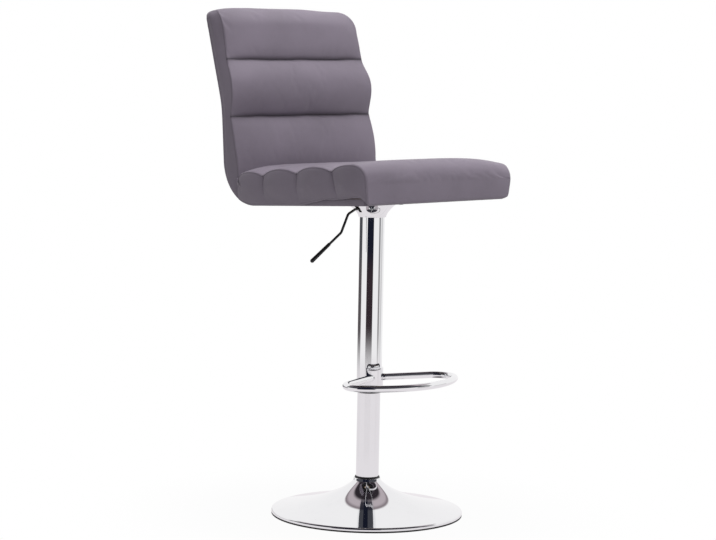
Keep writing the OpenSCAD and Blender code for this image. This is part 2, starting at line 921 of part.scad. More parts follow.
// Rings of equal length are joined into one closed skin of triangles
module skin(rings) {
    n = len(rings[0]);
    m = len(rings) - 1;
    ends = [middle(rings[0]), middle(rings[m])];
    points = concat([for (ring = rings) for (p = ring) p], ends);
    walls = [for (i = [0:m - 1], j = [0:n - 1])
        let (a = i * n + j, b = i * n + (j + 1) % n)
        each [[a, a + n, b], [b, a + n, b + n]]];
    caps = [for (j = [0:n - 1])
        let (k = (j + 1) % n, last = m * n, tips = last + n)
        each [[tips, j, k], [tips + 1, last + k, last + j]]];
    polyhedron(points = points, faces = concat(walls, caps));
}

ring_points = 28;
// Squareness of the cushions' crowned sides, from round to square, and of their flat side
seat_crown_share = 4;
back_crown_share = 6;
top_crown_share = 2.4;
flat_share = 20;
// How much narrower the front of the top channel is than its rear
top_taper_share = 0.06;

// A pillow outline: half width a, from depth low to depth high, crowned at high
function pillow(a, low, high, crown_share) =
    let (mid = (low + high) / 2, b = (high - low) / 2)
    [for (j = [0:ring_points - 1])
        let (t = 360 * (j + 0.5) / ring_points,
             p = sin(t) > 0 ? crown_share : flat_share,
             c = cos(t), s = sin(t),
             k = pow(pow(abs(c), p) + pow(abs(s), p), -1 / p))
        [a * k * c, mid + b * k * s]];

// Puff of a channel: 0 at its seams, 1 in the middle
puff_share = 0.6;
function puff(k) = pow(sin(180 * min(1, max(0, k))), puff_share);
channel_shares = [0, 0.05, 0.16, 0.32, 0.5, 0.68, 0.84, 0.95];
function spread(edges) = concat(
    [for (i = [0:len(edges) - 2]) for (k = channel_shares)
        edges[i] + k * (edges[i + 1] - edges[i])],
    [edges[len(edges) - 1]]);
// Share of the channel that a place lies in
function channel_at(edges, y) =
    let (i = max([for (k = [0:len(edges) - 2]) edges[k] <= y ? k : 0]))
    (y - edges[i]) / (edges[i + 1] - edges[i]);
// How far a rounded edge draws in, at a distance d from its end
function edge_draw(r, d) = d >= r ? 0 : r - sqrt(pow(r, 2) - pow(r - d, 2));

seat_edges = [-seat_front, -seat_front + front_channel,
    -seat_front + front_channel + channel_pitch,
    -seat_front + front_channel + 2 * channel_pitch, seat_rear - soft_gap];

// The underside of the seat follows the bend
function seat_floor(y) = y < bend_y ? 0 : bend_r - sqrt(pow(bend_r, 2) - pow(y - bend_y, 2));

function seat_ring(y) =
    let (puffed = puff(channel_at(seat_edges, y)),
         front = y < seat_edges[1] ? 1 : puffed,
         swell = y < seat_edges[1] ? max(puffed, y < -seat_front + front_channel / 2 ? 1 : 0)
             : puffed,
         along = (y + seat_front) / (seat_front + seat_rear),
         high = seat_front_h + (seat_rear_h - seat_front_h) * along
             - channel_depth * (1 - swell) - edge_draw(seat_round, y + seat_front),
         a = seat_w / 2 - channel_draw * (1 - swell)
             - edge_draw(seat_round, y + seat_front) / 2)
    [for (p = pillow(a, seat_floor(y), high, seat_crown_share)) [p[0], y, p[1]]];

front_shares = [0, 0.06, 0.2, 0.45, 0.75];
first_shares = [0.34, 0.5, 0.68, 0.84, 0.95];
seat_places = concat(
    [for (k = front_shares) -seat_front + seat_round * k],
    [for (k = first_shares) -seat_front + front_channel * k],
    spread([for (i = [1:len(seat_edges) - 1]) seat_edges[i]]));

// What the shell and its covers take out of the cushions
module shell_room() {
    wide = shell_w + 2 * soft_gap;
    thick = shell_t + cover_t + soft_gap;
    strip(shell_front - soft_gap, shell_end + soft_gap, -thick, thick, wide);
}

module seat_cushion() {
    color("#776f7b")
        on_seat()
            difference() {
                skin([for (y = seat_places) seat_ring(y)]);
                shell_room();
            }
}

// Crease with the seat, the two sewn channels and the top, along the back
crease_s = seat_rear_h - bend_r;
back_edges = [crease_s, crease_s + low_channel, crease_s + low_channel + mid_channel, back_len];
// The back's foot follows the bend down until only this much of its thickness is left
tip_t = 4;
back_tip = -sqrt(pow(bend_r, 2) - pow(bend_r - back_foot_t + tip_t, 2));
tip_shares = [1, 0.85, 0.6, 0.3];
top_shares = [0.9, 0.7, 0.45, 0.25, 0.1, 0.02, 0];
// How slowly the back thins from its foot to the lower seam
thinning_share = 1.5;

function back_thickness(s) =
    let (k = channel_at(back_edges, s))
    s < back_edges[0] ? back_foot_t
    : s < back_edges[1]
        ? back_foot_t + (back_pinch_t - back_foot_t) * pow(k, thinning_share)
            + end_swell * puff(k) / 2
    : s < back_edges[2]
        ? back_pinch_t + (back_neck_t - back_pinch_t) * k + mid_swell * puff(k)
    : back_neck_t + (back_top_t - back_neck_t) * k + end_swell * puff(k);

function back_ring(s) =
    let (puffed = s < back_edges[0] ? 1 : puff(channel_at(back_edges, s)),
         swell = s > back_edges[2] + (back_len - back_edges[2]) / 2 ? 1 : puffed,
         fall = top_depth * edge_draw(top_fall, back_len - s) / top_fall,
         behind = s < 0 ? bend_r - sqrt(pow(bend_r, 2) - pow(s, 2)) : 0,
         a = back_w / 2 - channel_draw * (1 - swell) - edge_draw(corner_round, back_len - s),
         angle = max(line_angle(max(s, 0)), up_angle),
         high_up = max(0, (s - back_edges[2]) / (back_len - back_edges[2])),
         upper = max(0, min(1, 2 * (s - back_edges[1]) / mid_channel - 1)),
         power = back_crown_share + (top_crown_share - back_crown_share) * high_up,
         at = s < 0 ? ahead(bend_point(low_angle), low_angle, s) : line_point(s))
    [for (p = pillow(a, behind, back_thickness(s) - fall, power))
        let (rise = top_crown * high_up * (1 - pow(2 * p[0] / back_w, 2)),
             narrow = 1 - top_taper_share * upper * p[1] / back_top_t)
        [-p[0] * narrow, at[0] - p[1] * sin(angle) + rise * cos(angle),
            at[1] + p[1] * cos(angle) + rise * sin(angle)]];

back_places = concat(
    [for (k = tip_shares) back_tip * k],
    [for (s = spread(back_edges)) if (s < back_len - top_fall) s],
    [for (k = top_shares) back_len - top_fall * k]);

module back_cushion() {
    color("#776f7b")
        on_seat()
            difference() {
                skin([for (s = back_places) back_ring(s)]);
                shell_room();
            }
}

// Lever

bend_1 = [-pivot_x - lever_reach_1, pivot_z];
bend_2 = bend_1 - [lever_reach_2, lever_drop_2];
bend_3 = bend_2 - [lever_reach_3, lever_drop_3];
grip_end = bend_3 - [lever_reach_4, lever_drop_4];
grip_line = grip_end - bend_3;
grip_angle = atan2(-grip_line[0], grip_line[1]);

// Puts a piece with its length along +Z on the lever's last stretch, ending at the grip's end
module on_grip() {
    translate([grip_end[0], 0, grip_end[1]])
        rotate([0, -grip_angle, 0]) mirror([0, 0, 1]) children();
}

// The lever's line, from the pivot to just short of the grip's end, with a round bend at
// each corner
lever_line = [[-pivot_x, pivot_z], bend_1, bend_2, bend_3,
    grip_end - grip_line * lever_d / norm(grip_line)];
lever_ends = len(lever_line) - 1;
function heading(i) =
    let (step = lever_line[i + 1] - lever_line[i]) atan2(step[1], step[0]);
function corner_turn(i) =
    i == 0 || i == lever_ends ? 0
    : let (a = heading(i) - heading(i - 1)) a > 180 ? a - 360 : a < -180 ? a + 360 : a;
function corner_cut(i) = lever_bend_r * tan(abs(corner_turn(i)) / 2);

module rod_stretch(i, r) {
    way = [cos(heading(i)), sin(heading(i))];
    from = lever_line[i] + way * (corner_cut(i) + weld_gap);
    long = norm(lever_line[i + 1] - lever_line[i])
        - corner_cut(i) - corner_cut(i + 1) - 2 * weld_gap;
    translate([from[0], 0, from[1]])
        rotate([0, 90 - heading(i), 0]) cylinder(r = r, h = long);
}

module rod_corner(i, r) {
    turn = corner_turn(i);
    side = heading(i - 1) + 90 * sign(turn);
    way = [cos(heading(i - 1)), sin(heading(i - 1))];
    centre = lever_line[i] - way * corner_cut(i) + lever_bend_r * [cos(side), sin(side)];
    translate([centre[0], 0, centre[1]])
        rotate([90, 0, 0])
            rotate([0, 0, side + 180 + min(0, turn)]) {
                bar_bend(lever_bend_r, abs(turn), r);
                for (at = [0, abs(turn)])
                    rotate([0, 0, at]) translate([lever_bend_r, 0, 0]) weld(r);
            }
}

module lever_rod() {
    r = lever_d / 2;
    color("#242426")
        difference() {
            union() {
                for (i = [0:lever_ends - 1]) rod_stretch(i, r);
                for (i = [1:lever_ends - 1]) rod_corner(i, r);
                translate([-pivot_x, 0, pivot_z])
                    rotate([90, 0, 0]) cylinder(r = boss_d / 2, h = boss_len, center = true);
                translate([-pivot_x, -tongue_w / 2, pivot_z - tongue_t / 2])
                    cube([pivot_x + pin_d / 2, tongue_w, tongue_t]);
            }
            translate([-pivot_x, 0, pivot_z])
                rotate([90, 0, 0])
                    cylinder(r = pivot_d / 2 + run_gap, h = 2 * boss_len, center = true);
        }
}

module lever_grip() {
    end_r = grip_d / 2;
    mouth_share = 0.84;
    color("#1c1c1e")
        difference() {
            on_grip() {
                at_height(end_r)
                    cylinder(r1 = end_r, r2 = end_r * mouth_share, h = grip_len - end_r);
                at_height(end_r) sphere(r = end_r);
            }
            on_grip()
                at_height(lever_d - seat_gap) cylinder(r = lever_d / 2 + seat_gap, h = grip_len);
        }
}

base_disc();
foot_ring();
ballast_plate();
foot_socket();
neck_ring();
column_tube();
column_end_plate();
guide_bush();
lower_race();
piston_rod();
ball_cage();
bearing_balls();
upper_race();
rod_clip();
rod_buffer();
piston();
piston_seal();
gas_cylinder();
cylinder_gland();
valve_housing();
upper_sleeve();
glide_ring();
sleeve_head();
sleeve_cap();
footrest_saddle();
footrest_loop();
seat_plate();
lift_socket();
lever_bracket();
lever_pin();
plate_bolts();
threaded_inserts();
plywood_shell();
dust_cover();
rear_cover();
seat_cushion();
back_cushion();
release_pin();
lever_rod();
lever_grip();
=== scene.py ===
"""Looks of an adjustable bar stool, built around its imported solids.

Everything is in metres and in the row frame: the origin is on the floor under the column, +Z
is up, the seat's front faces -Y and the release lever points to -X. Each piece is a surface
worked out in whole arrays; the two cushions are then puffed by cloth simulation.
"""

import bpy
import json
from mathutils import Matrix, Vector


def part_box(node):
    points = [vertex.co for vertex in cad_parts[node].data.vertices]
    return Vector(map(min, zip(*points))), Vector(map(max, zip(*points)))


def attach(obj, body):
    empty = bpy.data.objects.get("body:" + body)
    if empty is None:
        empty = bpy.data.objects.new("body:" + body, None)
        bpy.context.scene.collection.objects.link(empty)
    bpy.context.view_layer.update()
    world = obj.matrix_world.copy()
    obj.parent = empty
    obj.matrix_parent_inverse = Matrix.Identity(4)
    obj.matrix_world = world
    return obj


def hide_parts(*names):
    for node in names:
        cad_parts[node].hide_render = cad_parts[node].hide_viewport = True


bl_info = {
    "name": "Bar stool",
    "version": (1, 0, 0),
    "blender": (4, 5, 0),
    "location": "3D View > Sidebar > Bar stool",
    "description": "Builds the cushions, chrome, fittings and stage of the bar stool",
    "category": "Add Mesh",
}

import json
import math

import bmesh
import bpy
import numpy as np
from bpy.props import FloatProperty, FloatVectorProperty, PointerProperty
from mathutils import Matrix

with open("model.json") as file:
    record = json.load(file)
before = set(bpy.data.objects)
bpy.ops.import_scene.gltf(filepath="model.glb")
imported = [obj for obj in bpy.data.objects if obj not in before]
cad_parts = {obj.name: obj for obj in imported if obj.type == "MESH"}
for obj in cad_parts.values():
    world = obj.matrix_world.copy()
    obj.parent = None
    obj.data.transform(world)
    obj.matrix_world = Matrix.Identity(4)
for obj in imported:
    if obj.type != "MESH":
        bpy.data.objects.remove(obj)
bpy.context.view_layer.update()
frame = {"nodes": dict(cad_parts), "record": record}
NODES = frame["nodes"]

# Outputs of nodes, by their order
IS_CAMERA, IS_GLOSSY, IS_TRANSMITTED = 0, 3, 6
GENERATED, OBJECT = 0, 3
BACKFACING = 6

# Linear colours of the stage
WHITE = (1, 1, 1, 1)
PALE = (0.86, 0.825, 0.85)

# Distances between a cushion's points, across and along its loops
ACROSS_STEP, ALONG_STEP = 0.0052, 0.0055

# The cloth simulation that puffs the cushions
PUFF_FRAMES = 20
PUFF = {
    "quality": 6, "mass": 0.25, "tension_stiffness": 18, "compression_stiffness": 8,
    "shear_stiffness": 6, "bending_stiffness": 0.4, "shrink_min": -0.002,
    "use_pressure": True, "uniform_pressure_force": 4.0,
}


# Properties

def length(name, text, default):
    """A length in metres that a user may change."""
    return FloatProperty(name=name, description=text, default=default, unit="LENGTH",
                         precision=4)


def turn(name, text, degrees):
    """An angle that a user may change, given in degrees."""
    return FloatProperty(name=name, description=text, default=math.radians(degrees),
                         unit="ROTATION")


def share(name, text, default):
    """A plain factor that a user may change."""
    return FloatProperty(name=name, description=text, default=default, precision=3)


def colour(name, text, default):
    """A colour that a user may change, in linear values."""
    return FloatVectorProperty(name=name, description=text, default=default, size=3,
                               subtype="COLOR", min=0, max=1)


class StoolShellSizes(bpy.types.PropertyGroup):
    """Where the bent shell lies, which both cushions follow"""
    under: length("Underside", "Height of the seat's underside over the column", 0.6315)
    tilt: turn("Tilt", "Tilt of the seat, front edge up", 3.8)
    bend_y: length("Bend", "Distance of the bend's centre behind the column", 0.142)
    bend_r: length("Bend radius", "Outer radius of the shell's bend", 0.09)
    thick: length("Thickness", "Thickness of the shell with its cover and the room round it",
                  0.0138)
    half_w: length("Half width", "Half the width of the room that the shell takes", 0.1884)
    low_angle: turn("Lower back", "Angle of the lower back over the seat", 89.8)
    up_angle: turn("Upper back", "Angle of the upper back over the seat", 77.3)
    low_len: length("Lower length", "Length of the back's lower part", 0.082)
    turn_len: length("Turn", "Length over which the back changes its lean", 0.05)
    up_len: length("Upper length", "Length of the back's upper part", 0.17)


class StoolSeatSizes(bpy.types.PropertyGroup):
    """Sizes of the seat's padding"""
    flat_w: length("Flat width", "Half the width of the flat underside", 0.1925)
    corner_w: length("Corner width", "Half the width at the front's corners", 0.195)
    crease_w: length("Crease width", "Half the width at a channel's seam", 0.199)
    lobe_w: length("Lobe width", "Half the width between two seams", 0.2045)
    far_wider: length("Far corner width", "How much wider the front corner at +X is", 0.006)
    rear_w: length("Rear width", "Half the width behind", 0.1935)
    hem_w: length("Hem width", "Half the width along the hems", 0.1945)
    room_w: length("Room", "Half the width of the room for the shell and its rolled edge", 0.1908)
    front: length("Front", "Distance of the front from the column", 0.192)
    rear: length("Rear", "Distance of the rear from the column", 0.1897)
    front_h: length("Front height", "Height at the front", 0.083)
    rear_h: length("Rear height", "Height at the rear", 0.078)
    first: length("First channel", "Depth of the first channel from the front", 0.095)
    pitch: length("Pitch", "Spacing of the next channels", 0.1)
    groove: length("Groove", "Depth of a sewn channel", 0.0085)
    groove_side: length("Side groove", "How much deeper a channel gets at the sides", 0.0035)
    draw: length("Draw", "How far a side panel draws in at a channel", 0.003)
    front_round: length("Front rounding", "Rounding of the front's top edge", 0.027)
    edge_round: length("Edge rounding", "Rounding along the side panels' seams", 0.0045)
    bulge: length("Bulge", "Bulge of the side panels", 0.0025)
    front_bulge: length("Front bulge", "Bulge of the front panel", 0.004)
    near_drop: length("Near front drop", "How much lower the front corner at -X is", 0.009)
    far_drop: length("Far front drop", "How much lower the front corner at +X is", 0.0155)
    side_drop: length("Side drop", "How much lower the top is at its sides in front", 0.003)
    rear_drop: length("Rear side drop", "How much lower the top is at its sides behind", 0.012)
    far_round: length("Far corner", "Rounding of the front's lower corner at +X", 0.013)
    hem_rise: length("Hem", "How far the hem of a side panel rises at its highest", 0.015)


class StoolBackSizes(bpy.types.PropertyGroup):
    """Sizes of the back's padding"""
    half_w: length("Half width", "Half the overall width", 0.1922)
    tip: length("Tip", "Length of the back below the end of the bend", 0.0742)
    crease: length("Crease", "Where the seat meets the back, along the back", -0.013)
    low: length("Lower channel", "Height of the lower channel over the crease", 0.1005)
    middle: length("Middle channel", "Height of the middle channel", 0.111)
    foot_t: length("Foot", "Thickness at the crease", 0.044)
    pinch_t: length("Lower seam", "Thickness at the lower seam", 0.026)
    neck_t: length("Upper seam", "Thickness at the upper seam", 0.0344)
    top_t: length("Top", "Thickness at the top", 0.037)
    low_swell: length("Lower swell", "Swell of the lower channel's profile", 0.003)
    mid_swell: length("Middle swell", "Swell of the middle channel's profile", 0.013)
    pad_swell: length("Pad swell", "Swell of every channel away from its sides", 0.0035)
    notch: length("Notch", "Depth of the sewn line in a channel's seam", 0.006)
    top_reach: length("Top reach", "Length of the rounding over the top", 0.04)
    top_fall: length("Top fall", "How far the front falls back over the top", 0.024)
    rear_round: length("Rear rounding", "Rounding of the top's rear edge", 0.005)
    seam_w: length("Lower seam width", "Half width of the front at the lower seam", 0.1888)
    neck_w: length("Upper seam width", "Half width of the front at the upper seam", 0.1842)
    far_wider: length("Far side", "How much wider the front is at +X", 0.0024)
    top_w: length("Top width", "Half width of the front at the top", 0.181)
    near_corner: length("Near corner", "How far the top corner at -X is drawn in", 0.010)
    far_corner: length("Far corner", "How far the top corner at +X is drawn in", 0.034)
    edge_round: length("Edge rounding", "Rounding along the side panels' seams", 0.0025)
    bulge: length("Bulge", "Bulge of the side panels", 0.0008)


class StoolShellEdge(bpy.types.PropertyGroup):
    """Sizes of the rolled leather edge round the shell"""
    half_w: length("Half width", "Half the distance between the edges' inner sides", 0.1887)
    front: length("Front", "Distance of the shell's front from the column", 0.1785)
    top: length("Top", "Where the edge crosses the back, along the back", 0.2895)
    corner: length("Corner", "Rounding of the corners", 0.014)
    seat_out: length("Seat edge", "How far the edge stands out along the seat", 0.0016)
    back_out: length("Back edge", "How far the edge stands out along the back", 0.0014)
    seat_deep: length("Seat depth", "Height of the edge along the seat", 0.0128)
    back_deep: length("Back depth", "Height of the edge along the back", 0.0105)
    panel: length("Rear panel", "Thickness of the padding behind the back", 0.0022)


class StoolMetalSizes(bpy.types.PropertyGroup):
    """Sizes of the base, the cap and the footrest"""
    rim_h: length("Rim", "Height of the top of the base's rim", 0.009)
    rim_round: length("Rim rounding", "Rounding of the rim", 0.004)
    base_wall: length("Sheet", "Thickness of the base's sheet", 0.002)
    neck_r: length("Neck", "Radius of the base's neck", 0.02695)
    throat_h: length("Throat", "Height of the neck's straight throat", 0.005)
    bow: share("Bow", "Bow of the trumpet's curve", 0.93)
    cap_wall: length("Cap wall", "Wall of the flared cap", 0.0014)
    cap_flare: share("Cap flare", "How quickly the cap flares", 1.7)
    bar_r: length("Bar", "Radius of the footrest bar", 0.007)
    reach: length("Reach", "Distance of the footrest's front from the column", 0.165)
    front_r: length("Front bend", "Radius of the footrest's front bend", 0.19)
    end_r: length("End bend", "Radius of the footrest's end bends", 0.038)
    end_x: length("End", "Distance of an end bend's centre from the middle", 0.097)
    arm_x: length("Arm", "Half the distance between the arms at the saddle", 0.014)


class StoolFinishes(bpy.types.PropertyGroup):
    """Colours of the stool"""
    leather: colour("Leather", "Faux leather of the cushions", (0.171, 0.1455, 0.184))
    lining: colour("Lining", "Cloth under the seat", (0.014, 0.013, 0.016))
    chrome: colour("Chrome", "Polished chrome", (0.86, 0.865, 0.875))
    steel: colour("Steel", "Plain steel inside", (0.56, 0.57, 0.58))
    alloy: colour("Alloy", "Light alloy inside", (0.66, 0.67, 0.68))
    brass: colour("Brass", "Brass cage of the bearing", (0.72, 0.52, 0.24))
    paint: colour("Black paint", "Lever, plate and socket", (0.014, 0.014, 0.016))
    plastic: colour("Black plastic", "Grip, bush and rings", (0.012, 0.012, 0.013))
    rubber: colour("Rubber", "Foot ring, buffer and seal", (0.02, 0.02, 0.02))
    wood: colour("Plywood", "Shell of bent plywood", (0.5, 0.35, 0.2))


class StoolStage(bpy.types.PropertyGroup):
    """Camera and light"""
    distance: length("Distance", "Distance of the camera from the column, on the floor", 4.757)
    height: length("Height", "Height of the camera", 0.995)
    azimuth: turn("Azimuth", "Where the camera stands, from -X towards -Y", 46.5)
    pitch: turn("Pitch", "How far the camera looks down", 6.01)
    yaw: turn("Yaw", "How far the camera looks to the right", -0.32)
    roll: turn("Roll", "How far the picture is turned clockwise", 1.1)
    lens: FloatProperty(name="Lens", description="Focal length of the camera in millimetres",
                        default=120.07)
    sky: share("Sky", "Strength of the even light from all sides", 0.62)
    key: share("Key", "Power of the large lamp on the right, in watts", 36)
    top: share("Top", "Power of the lamp above, in watts", 52)


def sizes(name):
    """The scene's property group of that name."""
    return getattr(bpy.context.scene, name)


# Meshes

def grid_faces(rows, columns, wrap_rows=False, wrap_columns=False):
    """Quads between neighbouring rows and columns of a grid of points, wrapped if asked."""
    index = np.arange(rows * columns).reshape(rows, columns)
    if wrap_rows:
        index = np.vstack([index, index[:1]])
    if wrap_columns:
        index = np.hstack([index, index[:, :1]])
    corners = [index[:-1, :-1], index[1:, :-1], index[1:, 1:], index[:-1, 1:]]
    return np.stack(corners, -1).reshape(-1, 4)


def zipped(ring):
    """Quads that close a flat ring: each point is joined to the one across, counted from both
    ends of the ring."""
    half = len(ring) // 2
    near, far = ring[:half], ring[::-1][:half]
    return np.stack([near[:-1], near[1:], far[1:], far[:-1]], -1)


def closed_skin(rows, columns):
    """Quads of a skin of closed loops, zipped up at its first and its last loop."""
    ring = np.arange(columns)
    return np.vstack([grid_faces(rows, columns, False, True), zipped(ring),
                      zipped(ring + (rows - 1) * columns)])


def round_steps(count):
    """Angles of a full turn, as a column."""
    return np.linspace(0, 2 * np.pi, count, endpoint=False)[:, None]


def new_object(name, points, faces, merge=False):
    """A mesh object at the origin with smooth faces that point outwards. Points at the same
    place are merged if asked."""
    mesh = bpy.data.meshes.new(name)
    mesh.from_pydata(points.reshape(-1, 3).tolist(), [], [list(f) for f in faces])
    work = bmesh.new()
    work.from_mesh(mesh)
    if merge:
        bmesh.ops.remove_doubles(work, verts=work.verts, dist=1e-6)
    bmesh.ops.recalc_face_normals(work, faces=work.faces)
    work.to_mesh(mesh)
    work.free()
    mesh.polygons.foreach_set("use_smooth", np.ones(len(mesh.polygons), bool))
    obj = bpy.data.objects.new(name, mesh)
    bpy.context.scene.collection.objects.link(obj)
    return obj


def new_mesh(name, points, faces, body, slot, look=None):
    """A merged mesh object riding on a body, with its slot's finish or another look."""
    obj = new_object(name, points, faces, True)
    obj.data.materials.append(finish(look or slot))
    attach(obj, body)
    return obj


def revolved(profile, steps):
    """A closed profile of (radius, height) points carried round the Z axis: point (i, j) is
    (r_j cos a_i, r_j sin a_i, z_j)."""
    angle = round_steps(steps)
    r, z = profile[None, :, 0], profile[None, :, 1]
    points = np.stack([r * np.cos(angle), r * np.sin(angle), z + 0 * angle], -1)
    return points, grid_faces(steps, len(profile), True, True)


def filleted(corners, radii, steps=5):
    """A closed outline with round corners: at each corner an arc of the given radius joins the
    two sides, worked out from the corner, its neighbours and the half angle between them."""
    corners, radii = np.asarray(corners, float), np.asarray(radii, float)
    back = np.roll(corners, 1, 0) - corners
    ahead = np.roll(corners, -1, 0) - corners
    back /= np.linalg.norm(back, axis=1, keepdims=True)
    ahead /= np.linalg.norm(ahead, axis=1, keepdims=True)
    half = np.arccos(np.clip((back * ahead).sum(1), -1, 1)) / 2
    middle = back + ahead
    middle /= np.linalg.norm(middle, axis=1, keepdims=True)
    centre = corners + middle * (radii / np.sin(half))[:, None]
    start = corners + back * (radii / np.tan(half))[:, None] - centre
    end = corners + ahead * (radii / np.tan(half))[:, None] - centre
    blend = np.linspace(0, 1, steps)[None, :, None]
    sweep = (np.pi - 2 * half)[:, None, None]
    arc = (start[:, None] * np.sin((1 - blend) * sweep)
           + end[:, None] * np.sin(blend * sweep)) / np.sin(sweep)
    return (centre[:, None] + arc).reshape(-1, 2)


def swept(path, radius, sides):
    """A round tube along a path of points that is nowhere upright: each ring lies square to
    the path's direction, with its first side turned towards +Z, and both ends are closed by a
    fan to the path."""
    way = np.gradient(path, axis=0)
    way /= np.linalg.norm(way, axis=1, keepdims=True)
    across = np.cross(way, [0.0, 0.0, 1.0])
    across /= np.linalg.norm(across, axis=1, keepdims=True)
    up = np.cross(across, way)
    angle = round_steps(sides)[None]
    rings = path[:, None] + radius * (np.cos(angle) * up[:, None]
                                      + np.sin(angle) * across[:, None])
    count = len(path) * sides
    faces = grid_faces(len(path), sides, False, True).tolist()
    side = np.arange(sides)
    for first, tip in ((0, count), (count - sides, count + 1)):
        fan = [side + first, np.roll(side, -1) + first, np.full(sides, tip)]
        faces += np.stack(fan, -1).tolist()
    return np.vstack([rings.reshape(-1, 3), path[:1], path[-1:]]), faces


def smooth_step(x, low, high):
    """0 below low, 1 above high, and 3t^2 - 2t^3 between them."""
    t = np.clip((x - low) / (high - low), 0, 1)
    return t * t * (3 - 2 * t)


def ellipse_draw(reach, span, d):
    """How far a quarter ellipse draws in at a distance d from its end: it is reach there, and
    nothing at the distance span."""
    part = np.clip((span - d) / span, 0, 1)
    return reach * (1 - np.sqrt(1 - part ** 2))


# Materials

class Value:
    """One shader value. Python's operators on it add Math nodes and return new values."""

    def __init__(self, finish, socket):
        self.finish = finish
        self.socket = socket

    def maths(self, operation, *others):
        """A Math node on this value and others."""
        return self.finish.node("ShaderNodeMath", {"operation": operation}, self, *others)[0]

    def __add__(self, other):
        return self.maths("ADD", other)

    def __sub__(self, other):
        return self.maths("SUBTRACT", other)

    def __rsub__(self, other):
        return self.finish.number(other).maths("SUBTRACT", self)

    def __mul__(self, other):
        return self.maths("MULTIPLY", other)

    def __truediv__(self, other):
        return self.maths("DIVIDE", other)

    def __pow__(self, other):
        return self.maths("POWER", other)

    __radd__ = __add__
    __rmul__ = __mul__

    def ramp(self, low, high):
        """0 at low and 1 at high, smoothly, and clamped."""
        settings = {"interpolation_type": "SMOOTHSTEP"}
        return self.finish.node("ShaderNodeMapRange", settings, self, low, high, 0.0, 1.0)[0]


class Finish:
    """A material, or the world, whose nodes are added by calls. With keywords, its surface is
    a Principled shader with those sockets set."""

    def __init__(self, name, tree=None, **plain):
        if tree is None:
            self.material = bpy.data.materials.new(name)
            self.material.use_nodes = True
            tree = self.material.node_tree
        self.tree = tree
        tree.nodes.clear()
        if plain:
            self.shader = self.node("ShaderNodeBsdfPrincipled", {}, **plain)[0]
            self.surface(self.shader)

    def surface(self, shade, kind="ShaderNodeOutputMaterial"):
        """Shows a shader on the surface, or as the world."""
        self.node(kind, {}, Surface=shade)

    def node(self, kind, settings, *values, **named):
        """Adds a node: its settings first, then the values or links of its inputs, by order or
        by name. Returns its outputs as values."""
        node = self.tree.nodes.new(kind)
        for key, value in settings.items():
            setattr(node, key, value)
        pairs = list(enumerate(values)) + [(k.replace("_", " "), v) for k, v in named.items()]
        for key, value in pairs:
            self.feed(node.inputs[key], value)
        return [Value(self, s) for s in node.outputs]

    def feed(self, socket, value):
        """Links a value to a socket, or sets the socket."""
        if isinstance(value, Value):
            self.tree.links.new(value.socket, socket)
        elif value is not None:
            socket.default_value = value

    def number(self, value):
        """A plain number as a shader value."""
        plain = self.node("ShaderNodeValue", {})[0]
        plain.socket.default_value = value
        return plain

    def place(self, scale=(1, 1, 1)):
        """Object coordinates, in metres, stretched by scale."""
        coordinates = self.node("ShaderNodeTexCoord", {})[OBJECT]
        return self.node("ShaderNodeMapping", {}, coordinates, Scale=scale)[0]

    def noise(self, place, scale, detail=2.0, roughness=0.5):
        """Noise from 0 to 1 with that many features to the metre."""
        return self.node("ShaderNodeTexNoise", {}, Vector=place, Scale=scale, Detail=detail,
                         Roughness=roughness)[0]

    def cells(self, place, scale):
        """Distance to the nearest cell point."""
        return self.node("ShaderNodeTexVoronoi", {}, Vector=place, Scale=scale)[0]

    def attribute(self, name):
        """A number stored on the mesh's points."""
        return self.node("ShaderNodeAttribute", {"attribute_name": name})[2]

    def mix(self, factor, first, second):
        """Two colours mixed by a factor. The sockets between are for other kinds of value."""
        tones = [tone if isinstance(tone, Value) else (*tone, 1) for tone in (first, second)]
        return self.node("ShaderNodeMix", {"data_type": "RGBA"}, factor, *[None] * 5, *tones)[2]

    def shade(self, factor, first, second):
        """Two shaders mixed by a factor."""
        return self.node("ShaderNodeMixShader", {}, factor, first, second)[0]

    def bump(self, height, distance, strength, normal=None):
        """A bump of that height in metres, over another one if given."""
        return self.node("ShaderNodeBump", {}, Strength=strength, Distance=distance,
                         Height=height, Normal=normal)[0]

    def feed_changes(self, **sockets):
        """Feeds what changes over the surface to the shader."""
        for socket, value in sockets.items():
            self.feed(self.shader.socket.node.inputs[socket.replace("_", " ")], value)
        return self.material


def scaled(tone, factor):
    """A colour made lighter or darker."""
    return tuple(min(1.0, c * factor) for c in tone)


def leather(tone, name="faux_leather"):
    """Matt coated cloth: a pebbled grain of small cells, a broad change of tone, dull patches,
    and, where the mesh's crease attribute says so, tighter puckers and painted shade on the
    seams."""
    made = Finish(name, Base_Color=(*tone, 1), Roughness=0.5, Specular_IOR_Level=0.42,
                  Sheen_Weight=0.12, Sheen_Roughness=0.4)
    place = made.place()
    broad = made.noise(place, 9.0, 3.0)
    fine = made.noise(place, 70.0, 4.0, 0.6)
    grain = made.cells(place, 620.0)
    pores = made.noise(place, 1500.0)
    crease = made.attribute("crease")
    mottled = made.mix(broad.ramp(0.3, 0.7), scaled(tone, 0.93), scaled(tone, 1.07))
    mottled = made.mix(fine.ramp(0.35, 0.75) * 0.3, mottled, scaled(tone, 1.12))
    mottled = made.mix((1 - grain.ramp(0.0, 0.55)) * 0.16, mottled, scaled(tone, 0.7))
    # Painted shade: the sewn seams darken towards 0.22 of the tone by the crease attribute
    mottled = made.mix(crease * 0.9, mottled, scaled(tone, 0.22))
    height = grain * 0.7 + pores * 0.3
    pucker = made.noise(place, 120.0)
    rough = 0.46 + fine * 0.12 + crease * 0.2
    tight = made.bump(pucker * crease, 0.0016, 0.6)
    return made.feed_changes(Base_Color=mottled, Roughness=rough,
                     Normal=made.bump(height, 0.00022, 0.6, tight))


